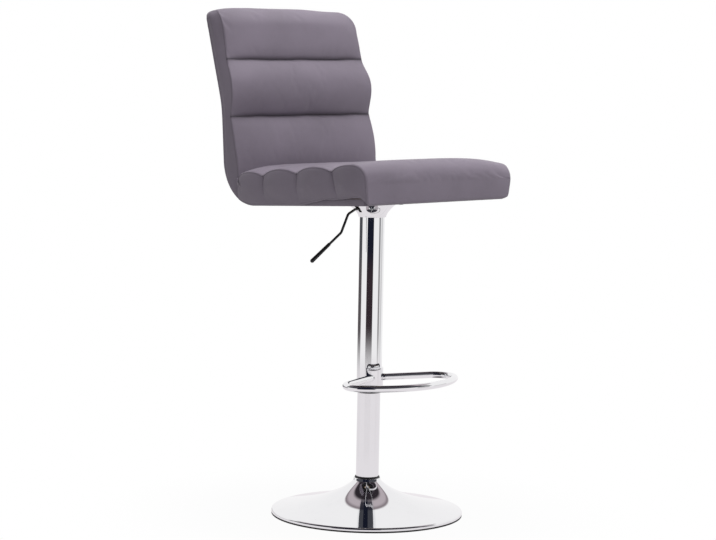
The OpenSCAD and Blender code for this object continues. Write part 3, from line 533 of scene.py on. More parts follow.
def chromed(tone):
    """Polished chrome with the faintest haze and wiping marks."""
    made = Finish("polished_chrome", Base_Color=(*tone, 1), Metallic=1.0, Roughness=0.04)
    place = made.place()
    haze = made.noise(place, 26.0, 4.0, 0.6)
    wiped = made.noise(made.place((1, 1, 0.06)), 420.0)
    rough = 0.022 + haze.ramp(0.45, 0.8) * 0.03 + wiped * 0.012
    dull = made.mix(haze.ramp(0.4, 0.8) * 0.25, tone, scaled(tone, 0.93))
    return made.feed_changes(Base_Color=dull, Roughness=rough)


def machined(name, tone, rough, scale=(1, 1, 1)):
    """Bare metal with turning marks round the column's axis, and a change of tone."""
    made = Finish(name, Base_Color=(*tone, 1), Metallic=1.0, Roughness=rough)
    marks = made.noise(made.place(scale), 900.0)
    patches = made.noise(made.place(), 40.0, 3.0)
    toned = made.mix(patches.ramp(0.3, 0.8) * 0.5, tone, scaled(tone, 0.78))
    return made.feed_changes(Base_Color=toned, Roughness=rough + marks * 0.14,
                     Normal=made.bump(marks, 0.00008, 0.5))


def painted(tone):
    """Satin black paint: a fine orange peel, and grey rubs where it is thin."""
    made = Finish("black_paint", Base_Color=(*tone, 1), Roughness=0.38, Coat_Weight=0.15,
                  Coat_Roughness=0.3)
    place = made.place()
    peel = made.noise(place, 520.0)
    rubs = made.noise(place, 95.0, 5.0, 0.7)
    toned = made.mix(rubs.ramp(0.62, 0.8) * 0.5, tone, scaled(tone, 3.0))
    return made.feed_changes(Base_Color=toned, Roughness=0.34 + rubs * 0.16,
                     Normal=made.bump(peel, 0.00012, 0.5))


def moulded(name, tone, rough):
    """Moulded plastic or rubber with a spark-eroded grain."""
    made = Finish(name, Base_Color=(*tone, 1), Roughness=rough)
    place = made.place()
    grain = made.noise(place, 1400.0)
    dust = made.noise(place, 60.0, 4.0, 0.6)
    toned = made.mix(dust.ramp(0.5, 0.85) * 0.4, tone, scaled(tone, 2.4))
    return made.feed_changes(Base_Color=toned, Roughness=rough + grain * 0.12,
                     Normal=made.bump(grain, 0.0001, 0.6))


def lining_cloth(tone):
    """Spun-bonded cloth: crossed short fibres and a grid of tiny bonded dots."""
    made = Finish("lining_cloth", Base_Color=(*tone, 1), Roughness=0.92,
                  Specular_IOR_Level=0.2)
    long_way = made.noise(made.place((1, 0.12, 1)), 900.0)
    cross_way = made.noise(made.place((0.12, 1, 1)), 900.0)
    dots = made.cells(made.place((1, 1, 0.001)), 520.0)
    broad = made.noise(made.place(), 14.0, 3.0)
    fibres = long_way.maths("MAXIMUM", cross_way)
    toned = made.mix(fibres.ramp(0.45, 0.75), scaled(tone, 0.7), scaled(tone, 1.4))
    toned = made.mix(broad.ramp(0.35, 0.75) * 0.4, toned, scaled(tone, 1.7))
    return made.feed_changes(Base_Color=toned,
                     Normal=made.bump(fibres + dots.ramp(0.0, 0.5) * 0.5, 0.0003, 0.7))


def plywood(tone):
    """Bent plywood: long grain across the seat, and dark glue lines through its thickness."""
    made = Finish("plywood", Base_Color=(*tone, 1), Roughness=0.6)
    grain = made.noise(made.place((0.05, 1, 1)), 260.0, 5.0, 0.6)
    rings = made.node("ShaderNodeTexWave", {"bands_direction": "Z"}, Vector=made.place(),
                      Scale=105.0, Distortion=1.5, Detail=2.0)[1]
    toned = made.mix(grain.ramp(0.3, 0.7), scaled(tone, 0.75), scaled(tone, 1.15))
    toned = made.mix(rings.ramp(0.75, 0.95) * 0.5, toned, scaled(tone, 0.4))
    return made.feed_changes(Base_Color=toned, Roughness=0.5 + grain * 0.2,
                     Normal=made.bump(grain, 0.0002, 0.5))


FINISH_MAKERS = {
    "chrome": lambda c: chromed(c.chrome),
    "steel": lambda c: machined("turned_steel", c.steel, 0.3, (1, 1, 0.08)),
    "light_alloy": lambda c: machined("light_alloy", c.alloy, 0.34, (0.1, 0.1, 1)),
    "brass": lambda c: machined("brass", c.brass, 0.28),
    "black_paint": lambda c: painted(c.paint),
    "black_plastic": lambda c: moulded("black_plastic", c.plastic, 0.42),
    "rubber": lambda c: moulded("rubber", c.rubber, 0.7),
    "lining": lambda c: lining_cloth(c.lining),
    "plywood": lambda c: plywood(c.wood),
    "upholstery": lambda c: leather(c.leather),
    "edge": lambda c: leather(scaled(c.leather, 0.94), "rolled_leather"),
}
_finishes = {}


def finish(slot):
    """The material of a slot, made once."""
    if slot not in _finishes:
        _finishes[slot] = FINISH_MAKERS[slot](sizes("stool_finishes"))
    return _finishes[slot]


# The shell's line

def seat_to_row(points):
    """From the seat's frame to the row frame: turned by the tilt about X and raised to the
    seat's underside."""
    shell = sizes("stool_shell")
    c, s = math.cos(shell.tilt), math.sin(shell.tilt)
    x, y, z = points[..., 0], points[..., 1], points[..., 2]
    return np.stack([x, y * c + z * s, z * c - y * s + shell.under], -1)


class BackLine:
    """The shell's outer line up the back. Its direction turns from the lower to the upper
    angle over a short length, and its points are the sum of small steps in that direction.
    Below the back it goes straight on, or bent, round the bend and along the seat."""

    def __init__(self, bent=False):
        shell = sizes("stool_shell")
        self.places = [shell.low_len, shell.low_len + shell.turn_len]
        self.angles = [shell.low_angle, shell.up_angle]
        self.end = self.places[1] + shell.up_len
        if bent:
            self.places = [-shell.bend_r * shell.low_angle, 0] + self.places
            self.angles = [0, shell.low_angle] + self.angles
        self.table = np.linspace(-0.6 if bent else -0.1, self.end + 0.05, 4001)
        angle = self.angle(self.table)
        self.y = self.summed(np.cos(angle), shell.bend_y
                             + shell.bend_r * math.sin(shell.low_angle))
        self.z = self.summed(np.sin(angle), shell.bend_r * (1 - math.cos(shell.low_angle)))

    def summed(self, slope, start):
        """The sum of small steps of that slope, which is start at length 0."""
        step = self.table[1] - self.table[0]
        total = np.concatenate([[0], np.cumsum((slope[1:] + slope[:-1]) / 2)]) * step
        return total - np.interp(0, self.table, total) + start

    def angle(self, s):
        """Direction of the line at a length s up the back."""
        return np.interp(s, self.places, self.angles)

    def point(self, s, t):
        """The point (y, z) at length s and at depth t in front of the line."""
        angle = self.angle(s)
        return (np.interp(s, self.table, self.y) - t * np.sin(angle),
                np.interp(s, self.table, self.z) + t * np.cos(angle))

    def behind(self, s):
        """Depth at which the shell's bend passes behind the straight line below it."""
        r = sizes("stool_shell").bend_r
        return np.where(s < 0, r - np.sqrt(r ** 2 - np.minimum(s, 0) ** 2), 0)


# Cushions

def puff(k):
    """Swell of a channel: the sine of its share of the channel to the power 0.6, so that it is
    0 at the seams and broad between them."""
    return np.sin(np.pi * np.clip(k, 0, 1)) ** 0.6


def channel_share(edges, q):
    """Which share of its channel a place lies in, from 0 to 1."""
    return np.interp(q, edges, np.arange(len(edges))) % 1.0


def places_between(edges):
    """Places from the first edge to the last: at fine distances from each inner edge, and
    about a step apart elsewhere."""
    fine = np.array([0.0007, 0.002, 0.0045, 0.0085])
    parts = [np.asarray(edges)]
    for low, high in zip(edges[:-1], edges[1:]):
        start = low + fine[-1] * (low > edges[0])
        stop = high - fine[-1] * (high < edges[-1])
        count = max(3, int(round((stop - start) / ALONG_STEP)) + 1)
        parts.append(np.linspace(start, stop, count))
    for edge in edges[1:-1]:
        parts += [edge - fine, edge + fine]
    return np.unique(np.round(np.concatenate(parts), 7))


def both_ways(low, high, count):
    """A row with one value for the first points of a loop and another for its return."""
    return np.repeat([float(low), float(high)], count)[None, :]


class Stations:
    """Where the loops of a cushion stand across its width: from the middle of one side panel,
    out to its seam, over the main panel and into the other side panel. Each has a share of
    the half width (0 to 1), a way round the seam's rounding (0 to 1) and an inset (1 at the
    outline, towards 0 at the panel's middle)."""

    def __init__(self, half_w, room, panel):
        lip = 0.0004
        inner = np.linspace(0, room - 4 * lip, int(room / ACROSS_STEP))
        outer = np.linspace(room + lip, half_w, 2 if half_w - room < 0.002 else 3)
        flat = np.concatenate([inner, [room - lip], outer]) / half_w
        round_way = np.array([0.3, 0.6, 0.84, 1.0])
        inset = np.asarray(panel)
        half = np.concatenate([
            np.stack([flat, 0 * flat, 0 * flat + 1], -1),
            np.stack([0 * round_way + 1, round_way, 0 * round_way + 1], -1),
            np.stack([0 * inset + 1, 0 * inset + 1, inset], -1)])
        self.side = np.concatenate([-np.ones(len(half)), np.ones(len(half) - 1)])[:, None]
        both = np.concatenate([half[::-1], half[1:]])
        self.flat, self.way, self.inset = (both[:, i][:, None] for i in range(3))
        self.seam = ((self.way == 1) & (self.inset == 1)) * 1.0


def insetted(y, z, mid_y, mid_z, stations, edge_round, reach):
    """Moves each loop towards its middle line: over the seam's rounding by a quarter circle,
    and over the side panel by the station's inset."""
    drawn = 1 - edge_round / reach * (1 - np.cos(stations.way * np.pi / 2))
    keep = drawn * stations.inset
    return mid_y + (y - mid_y) * keep, mid_z + (z - mid_z) * keep


def painted_seam_shade(distance):
    """How much painted shade lies at a distance from a sewn line: a narrow dark core in a
    broad soft shade, both bell-shaped."""
    return 0.8 * np.exp(-(distance / 0.0019) ** 2) + 0.2 * np.exp(-(distance / 0.006) ** 2)


def cushion(name, loops, body, node, cap):
    """Joins the loops of a cushion into one closed skin, puffs it by cloth simulation, and
    rounds it with one subdivision."""
    points, pinned, crease = loops
    obj = new_object(name, points, closed_skin(*points.shape[:2]))
    simulate(obj, pinned.reshape(-1), cap)
    # The crease attribute carries the painted seam shade that the leather reads
    shade_attribute = obj.data.attributes.new("crease", "FLOAT", "POINT")
    shade_attribute.data.foreach_set("value", crease.reshape(-1).astype(np.float32))
    finer = obj.modifiers.new("rounding", "SUBSURF")
    finer.levels = finer.render_levels = 1
    obj.data.materials.append(finish("upholstery"))
    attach(obj, body)
    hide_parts(node)


def simulate(obj, pinned, cap):
    """Puffs a closed skin by air pressure with its seams held. Each point's move from where it
    was drawn is then cap times the hyperbolic tangent of move / cap."""
    scene = bpy.context.scene
    mesh = obj.data
    count = len(mesh.vertices)
    before = np.zeros(count * 3)
    mesh.vertices.foreach_get("co", before)
    before = before.reshape(-1, 3)
    group = obj.vertex_groups.new(name="held")
    levels = np.round(pinned, 2)
    for level in np.unique(levels[levels > 0]):
        group.add(np.flatnonzero(levels == level).tolist(), float(level), "REPLACE")
    cloth = obj.modifiers.new("puff", "CLOTH")
    for key, value in PUFF.items():
        setattr(cloth.settings, key, value)
    cloth.settings.vertex_group_mass = "held"
    cloth.settings.effector_weights.gravity = 0
    cloth.collision_settings.use_collision = False
    cloth.collision_settings.use_self_collision = False
    cloth.point_cache.frame_start, cloth.point_cache.frame_end = 1, PUFF_FRAMES
    for step in range(1, PUFF_FRAMES + 1):
        scene.frame_set(step)
    shape = obj.evaluated_get(bpy.context.evaluated_depsgraph_get())
    after = np.zeros(count * 3)
    shape.data.vertices.foreach_get("co", after)
    obj.modifiers.remove(cloth)
    obj.vertex_groups.remove(group)
    scene.frame_set(1)
    move = after.reshape(-1, 3) - before
    far = np.linalg.norm(move, axis=1, keepdims=True)
    print(f"{obj.name}: puffed by up to {far.max() * 1000:.1f} mm, "
          f"{np.mean(far) * 1000:.1f} mm on average")
    move *= cap * np.tanh(far / cap) / np.maximum(far, 1e-9)
    mesh.vertices.foreach_set("co", (before + move).ravel())
    mesh.update()


def hem_height(y, seat):
    """How far a side panel's hem rises over the underside: 0 behind the column, two smooth
    steps up to its full rise, and down again round the front corner, with slow waves."""
    rise = 0.73 * (1 - smooth_step(y, -0.08, 0.012)) + 0.27 * (1 - smooth_step(y, -0.14, -0.112))
    corner = 0.2 + 0.8 * smooth_step(y + seat.front, 0.001, 0.02)
    wave = 1 + 0.06 * np.sin(y * 150) + 0.05 * np.sin(y * 61 + 1.0)
    return seat.hem_rise * rise * corner * wave


def seat_loops():
    """The seat's loops in its own frame. A loop's upper points run from the rear forward over
    the channels and down the front, its lower points run back along the underside:
    height = straight fall from front to rear, less the groove depth times (1 - puff), less a
    drop towards the sides, by the fifth power of the width's share at -X and the power 3.2 at
    +X. The sides draw in at the seams and bulge between them."""
    shell, seat = sizes("stool_shell"), sizes("stool_seat")
    edges = np.array([-seat.front, *(-seat.front + seat.first + seat.pitch * np.arange(3)),
                      seat.rear])
    base_w = seat.flat_w
    st = Stations(base_w, seat.room_w, (0.965, 0.9, 0.8, 0.68, 0.54, 0.4, 0.26, 0.13, 0.04))
    r = seat.front_round
    split, gap, front_in = 0.0015, 0.0009, 0.036
    main = places_between([-seat.front + r, *edges[1:]])[::-1]
    rear_steps, arc_steps, face_steps = 4, 8, 5
    quarter = np.linspace(0, np.pi / 2, arc_steps + 1)[1:]

    def spread_down(top, mid, steps):
        """Even heights from top to mid, without the first."""
        return top + (mid - top) * np.linspace(0, 1, steps + 1)[1:]

    def straight(y):
        """The straight fall of the top from front to rear."""
        return np.interp(y, [-seat.front, seat.rear], [seat.front_h, seat.rear_h])

    def fullness(y):
        """How full the padding is: the first channel stays full up to the front."""
        k = channel_share(edges, y)
        return np.where((y < edges[1]) & (k < 0.5), 1.0, puff(k))

    front_top = straight(-seat.front + r)
    low_rear = shell.bend_r - math.sqrt(shell.bend_r ** 2 - (seat.rear - shell.bend_y) ** 2)
    rear_mid = (seat.rear_h + low_rear) / 2
    front_mid = front_top / 2
    top_y = np.concatenate([np.full(rear_steps, seat.rear), main,
                            -seat.front + r * (1 - np.sin(quarter)),
                            np.full(face_steps, -seat.front)])
    top_z = np.concatenate([
        spread_down(straight(seat.rear), rear_mid + split, rear_steps)[::-1], straight(main),
        front_top - r * (1 - np.cos(quarter)),
        spread_down(front_top - r, front_mid + split, face_steps)])
    top_full = np.concatenate([np.ones(rear_steps), fullness(main),
                               np.ones(arc_steps + face_steps)])
    is_front = np.concatenate([np.zeros(rear_steps + len(main)),
                               np.sin(quarter), np.ones(face_steps)])
    rear_fall = 0.008 * smooth_step(top_y, seat.rear - 0.025, seat.rear) ** 2
    top_z = top_z - rear_fall * (np.arange(len(top_y)) >= rear_steps)

    low_arc = 0.005
    low_quarter = np.linspace(0, np.pi / 2, 5)[1:]
    low_main = main.copy()
    low_main[-6:] = np.linspace(main[-6], -seat.front + low_arc, 6)

    def floor(y, radius):
        """Height of an arc of that radius about the bend's centre, flat in front of it."""
        over = np.clip(y - shell.bend_y, 0, radius * 0.999)
        return shell.bend_r - np.sqrt(radius ** 2 - over ** 2)

    low_count = len(top_y) - rear_steps - len(low_main) - len(low_quarter)
    low_y = np.concatenate([np.full(rear_steps, seat.rear), low_main,
                            -seat.front + low_arc * (1 - np.sin(low_quarter)),
                            np.full(low_count, -seat.front)])
    low_z = np.concatenate([
        spread_down(low_rear, rear_mid - split, rear_steps)[::-1], floor(low_main, shell.bend_r),
        low_arc * (1 - np.cos(low_quarter)),
        spread_down(low_arc, front_mid - split, low_count)])

    out = st.flat
    middle_drop = 0.45 * (seat.side_drop + seat.rear_drop)
    near = np.interp(top_y, [-seat.front, -0.16, 0.05, seat.rear],
                     [seat.near_drop, seat.side_drop, middle_drop, seat.rear_drop])
    far = np.interp(top_y, [-seat.front, -0.165, -0.1, 0.05, seat.rear],
                    [seat.far_drop, 0.8 * seat.far_drop, middle_drop, middle_drop,
                     seat.rear_drop])
    drop = np.where(st.side < 0, out ** 5 * near, out ** 3.2 * far)
    groove = seat.groove + seat.groove_side * out ** 4
    lowered = np.clip((top_z - front_mid) / (front_top - r - front_mid), 0, 1)
    lowered = np.where(is_front > 0, lowered, 1)
    up_z = top_z[None, :] - groove * (1 - top_full)[None, :] - drop * lowered
    tall = np.clip(top_z / front_mid / 2, 0, 1)[None, :]
    up_y = (top_y[None, :] - seat.front_bulge * is_front[None, :]
            * (1 - out ** 4) * np.sin(tall * np.pi) ** 0.5)
    inside = out * base_w < seat.room_w
    recess = inside * (low_y > -seat.front + shell.thick)[None, :]
    recess[:, :rear_steps] = 0
    down_z = low_z[None, :] + recess * (floor(low_y, shell.bend_r - shell.thick) - low_z)[None, :]
    hem = hem_height(low_y[None, :], seat) * ~inside
    down_z = np.maximum(down_z, hem * (low_z < 0.02)[None, :])
    up_share = np.clip(down_z / front_mid / 2, 0, 1)
    down_y = (low_y[None, :] - seat.front_bulge * (low_y < -seat.front + low_arc)[None, :]
              * (1 - out ** 4) * np.sin(up_share * np.pi) ** 0.5)

    y = np.concatenate([up_y, down_y[:, ::-1]], 1)
    z = np.concatenate([up_z, down_z[:, ::-1]], 1)
    full_all = np.concatenate([top_full, np.interp(low_y, main[::-1], top_full[
        rear_steps:rear_steps + len(main)][::-1])[::-1]])[None, :]
    mid_y = np.clip(y, -seat.front + front_in, seat.rear - 0.02)
    apart = both_ways(gap, -gap, len(top_y))
    middle = (up_z + down_z) / 2
    mid_z = np.concatenate([middle, middle[:, ::-1]], 1) + apart
    mid_z = np.where(y < -seat.front + front_in, front_mid + apart, mid_z)
    y, z = insetted(y, z, mid_y, mid_z, st, seat.edge_round, 0.04)

    on_side = (st.inset < 1) + 0 * y
    reach = np.interp(y, [edges[1], edges[2], edges[3]], [0.013, 0.042, 0.031])
    fading = smooth_step(z, reach - 0.012, 0.064)
    lobe = np.maximum(np.sin(np.pi * channel_share(edges, y)), 0) ** 0.7
    first_lobe = (smooth_step(y, -seat.front, -seat.front + 0.05)
                  * np.clip((edges[1] - y) / 0.04, 0, 1) ** 0.7)
    lobe = np.where(y < edges[1], np.where(y < edges[1] - 0.04, smooth_step(
        y, -seat.front - 0.01, -seat.front + 0.05), first_lobe), lobe)
    crease_w = np.interp(y, [-seat.front, edges[1] - 0.03, 0.1, seat.rear],
                         [seat.corner_w, seat.crease_w, seat.crease_w, seat.rear_w])
    crease_w = crease_w + seat.far_wider * (st.side > 0) * (1 - smooth_step(y, -0.16, -0.05))
    seam_w = crease_w + (seat.lobe_w - seat.crease_w) * lobe
    risen = smooth_step(z, 0.002, 0.044)
    hem_w = seat.hem_w - 0.0022 * smooth_step(y, 0.1, seat.rear)
    half = (hem_w + (seam_w - hem_w) * risen - seat.edge_round
            - seat.draw * (1 - full_all) * fading * on_side)
    swelling = seat.bulge * (0.3 + 0.7 * lobe)
    corner = ellipse_draw(seat.far_round, seat.far_round, np.maximum(z, 0)) * (st.side > 0)
    corner = corner * (1 - smooth_step(y, -seat.front + 0.004, -seat.front + 0.02))
    x = ((half - corner) * st.flat + seat.edge_round * np.sin(st.way * np.pi / 2)
         + swelling * (1 - st.inset ** 4) - 0.0009 * st.seam) * st.side
    is_low = both_ways(0, 1, len(top_y)) + 0 * x
    x = np.where((is_low > 0) & (st.way == 0), st.flat * (base_w - corner) * st.side, x)
    lean = 0.017 * np.exp(-((y - edges[1]) / 0.04) ** 2) * np.clip(1 - z / 0.067, 0, 1)
    y = y - lean * on_side
    points = seat_to_row(np.stack([x, y, z], -1))

    seam = np.exp(-(full_all / 0.35) ** 2)
    nearest = np.min(np.abs(np.where(on_side > 0, y + lean, y)[..., None] - edges[1:-1]), -1)
    pinned = np.clip(seam * (1 - on_side * 0.5) * (z > 0.03), 0, 1)
    pinned = np.where((is_low > 0) & (on_side < 1), 1.0, pinned)
    pinned = np.where((on_side > 0) & (z < 0.018), 1.0, pinned)
    pinned = np.maximum(pinned, st.seam)
    pinned = np.where(y > seat.rear - 0.012, 1.0, pinned)
    # Painted shade for the crease attribute: dark along the channel seams, faint on the side
    # panels, none underneath, and a line along the side seams
    crease = painted_seam_shade(nearest) * np.where(on_side > 0, fading * 0.14, 0.8)
    crease = crease * (1 - is_low * (1 - on_side))
    crease = np.maximum(crease, 0.22 * st.seam * (z > 0.004))
    return points, pinned, crease


def back_loops():
    """The back's loops. A loop's front points run from the foot up over the channels and in a
    quarter ellipse over the top, its rear points run back down: the thickness at length s goes
    straight between the seams' values, with a swell of sines between them. The top rises to a
    crown in the middle, 1 less the fifth or eighth power of the width's share."""
    shell, back = sizes("stool_shell"), sizes("stool_back")
    line = BackLine()
    edges = np.array([back.crease, back.crease + back.low,
                      back.crease + back.low + back.middle, line.end])
    flat_w = back.half_w - back.edge_round - back.bulge
    st = Stations(flat_w, shell.half_w, (0.9, 0.76, 0.6, 0.44, 0.28, 0.12, 0.04))
    reach, fall, rear_r = back.top_reach, back.top_fall, back.rear_round
    shell_end, gap, top_in = 0.2884, 0.0005, 0.014
    arc_steps, face_steps = 11, 3
    quarter = np.linspace(0, np.pi / 2, arc_steps + 1)[1:]
    rear_quarter = np.linspace(0, np.pi / 2, 6)[1:]
    tip = np.linspace(-back.tip, back.crease, 11)[:-1]
    main = places_between([*edges[:-1], line.end - reach])
    front_main = np.concatenate([tip, main])

    def profile(s):
        """Thickness and fullness of the padding at a length s."""
        k = channel_share(edges, s)
        wave = np.sin(np.pi * k)
        low = back.foot_t + (back.pinch_t - back.foot_t) * k + back.low_swell * wave
        mid = (back.pinch_t + (back.neck_t - back.pinch_t) * k
               + back.mid_swell * np.maximum(wave, 0) ** 1.6)
        high = back.neck_t + (back.top_t - back.neck_t) * k + 0.001 * wave
        t = np.where(s < edges[1], low, np.where(s < edges[2], mid, high))
        full = np.where(s < edges[0], 1.0, puff(k))
        full = np.where((s > edges[2]) & (k > 0.5), 1.0, full)
        return np.where(s < edges[0], back.foot_t, np.where(s >= line.end, back.top_t, t)), full

    def seam_half(s):
        """Half the width between the front's side seams."""
        k = channel_share(edges, s)
        wave = np.maximum(np.sin(np.pi * k), 0)
        low = back.seam_w + 0.0005 + 0.0025 * wave
        mid = back.seam_w + (back.neck_w - back.seam_w) * k + 0.0042 * wave ** 2
        high = back.neck_w + (back.top_w - back.neck_w) * np.clip(k * 1.3, 0, 1)
        half = np.where(s < edges[1], low, np.where(s < edges[2], mid, high))
        return half + back.far_wider * (st.side > 0)

    front_s = np.concatenate([front_main, line.end - reach * (1 - np.sin(quarter)),
                              np.full(face_steps, line.end)])
    front_t, front_full = profile(np.minimum(front_s, line.end - 1e-6))
    arc_from = len(front_main)
    front_t[arc_from:arc_from + arc_steps] -= fall * (1 - np.cos(quarter))
    top_t = front_t[arc_from + arc_steps - 1]
    cap_mid = (top_t + rear_r) / 2
    front_t[-face_steps:] = np.linspace(top_t, cap_mid + 0.0006, face_steps + 1)[1:]
    count = len(front_s)

    def front_at(s):
        """Depth of the front at a length s."""
        return np.interp(s, front_s[:-face_steps], front_t[:-face_steps])

    rear_count = count - len(rear_quarter) - face_steps
    rear_main = np.interp(np.linspace(0, 1, rear_count - 3), np.linspace(0, 1, len(front_main)),
                          front_main)
    rear_main = np.interp(rear_main, [-back.tip, front_main[-1]], [-back.tip, shell_end - 0.0003])
    rear_main = np.concatenate([rear_main, [shell_end, shell_end + 0.001, line.end - rear_r]])
    rear_s = np.concatenate([rear_main, line.end - rear_r * (1 - np.sin(rear_quarter)),
                             np.full(face_steps, line.end)])
    rear_t = np.concatenate([line.behind(rear_main), rear_r * (1 - np.cos(rear_quarter)),
                             np.linspace(rear_r, cap_mid - 0.0006, face_steps + 1)[1:]])

    out = st.flat
    recess = (out * flat_w < shell.half_w) * (rear_s < shell_end)[None, :]
    inner = np.where(rear_s < 0, shell.bend_r - np.sqrt(np.maximum(
        (shell.bend_r - shell.thick) ** 2 - np.minimum(rear_s, 0) ** 2, 0)), shell.thick)
    hollow = np.minimum(inner, front_at(rear_s) * 0.92)
    down_t = rear_t[None, :] + recess * np.maximum(hollow - rear_t, 0)[None, :]
    seam_gap = np.min(np.abs(front_s[:, None] - edges[1:3]), 1)
    broad = 1 - out ** 6
    padding = (front_full * (front_s > edges[0])
               * (1 - smooth_step(front_s, line.end - 0.035, line.end - 0.004)))
    sewn = np.exp(-(seam_gap / 0.004) ** 2)
    up_t = front_t[None, :] + broad * (back.pad_swell * padding - back.notch * sewn)[None, :]
    t = np.concatenate([up_t, down_t[:, ::-1]], 1)
    s = np.concatenate([front_s[None, :] + 0 * out, rear_s[None, ::-1] + 0 * out], 1)
    mid_s = np.clip(s, -back.tip + 0.004, line.end - top_in)
    side_mid = np.where(s > line.end - top_in, front_at(line.end - top_in) / 2,
                        (front_at(s) + line.behind(s)) / 2)
    side_mid = side_mid + both_ways(gap, -gap, count)
    s, t = insetted(s, t, mid_s, side_mid, st, back.edge_round, 0.019)

    is_rear = both_ways(0, 1, count) + 0 * s
    d = line.end - s
    drawn = np.where(st.side < 0, back.near_corner, back.far_corner)
    length_up = np.where(st.side < 0, 0.018, 0.036)
    front_corner = ellipse_draw(drawn, length_up, d)
    rear_corner = ellipse_draw(drawn, line.end - shell_end, d)
    forward = smooth_step(t / np.maximum(front_at(s), 0.006), 0.3, 1.0)
    in_room = (is_rear > 0) & (st.flat * flat_w < shell.half_w) & (st.way == 0) & (s < shell_end)
    forward = np.where(in_room, 0, forward)
    half = (flat_w + (seam_half(s) - back.edge_round - flat_w) * forward
            - np.where(in_room, 0, rear_corner + (front_corner - rear_corner) * forward))
    under_edge = 0.0014 * (1 - smooth_step(t, 0.0085, 0.0115)) * (st.inset < 1) * (s < shell_end)
    x = (half * st.flat + back.edge_round * np.sin(st.way * np.pi / 2)
         + back.bulge * (1 - st.inset ** 2) - 0.0007 * st.seam - under_edge) * st.side
    high_up = smooth_step(s, edges[2] + 0.02, line.end)
    crown = (0.0095 * (1 - np.abs(x / 0.194) ** np.where(x < 0, 5, 8))
             + 0.0012 * np.exp(-((x + 0.125) / 0.055) ** 2)
             - 0.0035 * smooth_step(x, 0.03, 0.14))
    wave = 0.0004 * np.sin(x * 46 + 0.6) + 0.0002 * np.sin(x * 97)
    rise = np.where(in_room, 0, crown * high_up + wave * (1 - is_rear) * smooth_step(s, 0.0, 0.05)
                    * (1 - high_up))
    y, z = line.point(s + rise, t)
    points = seat_to_row(np.stack([x, y, z], -1))

    on_side = (st.inset < 1) + 0 * x
    seam = np.exp(-(np.concatenate([front_full, front_full[::-1]])[None, :] / 0.35) ** 2)
    front_only = (1 - on_side) * (1 - is_rear)
    pinned = seam * front_only
    pinned = np.where(is_rear > 0, 1.0, pinned)
    pinned = np.where(s < edges[0] + 0.004, 1.0, pinned)
    pinned = np.maximum(pinned, st.seam)
    pinned = np.maximum(pinned, 0.6 * on_side)
    nearest = np.min(np.abs(s[..., None] - edges[1:3]), -1)
    # Painted shade for the crease attribute: dark along the front's channel seams, and a line
    # along its side seams
    crease = painted_seam_shade(nearest) * front_only
    crease = np.maximum(crease, 0.36 * st.seam * (1 - is_rear))
    return points, pinned, crease


class STOOL_OT_seat_cushion(bpy.types.Operator):
    """Makes the seat's padding with its sewn channels"""
    bl_idname = "stool.seat_cushion"
    bl_label = "Seat cushion"

    def execute(self, context):
        cushion("seat_padding", seat_loops(), "seat", "seat_cushion", 0.0022)
        return {"FINISHED"}


class STOOL_OT_back_cushion(bpy.types.Operator):
    """Makes the back's padding with its sewn channels and plain side panels"""
    bl_idname = "stool.back_cushion"
    bl_label = "Back cushion"

    def execute(self, context):
        cushion("back_padding", back_loops(), "seat", "back_cushion", 0.0016)
        return {"FINISHED"}


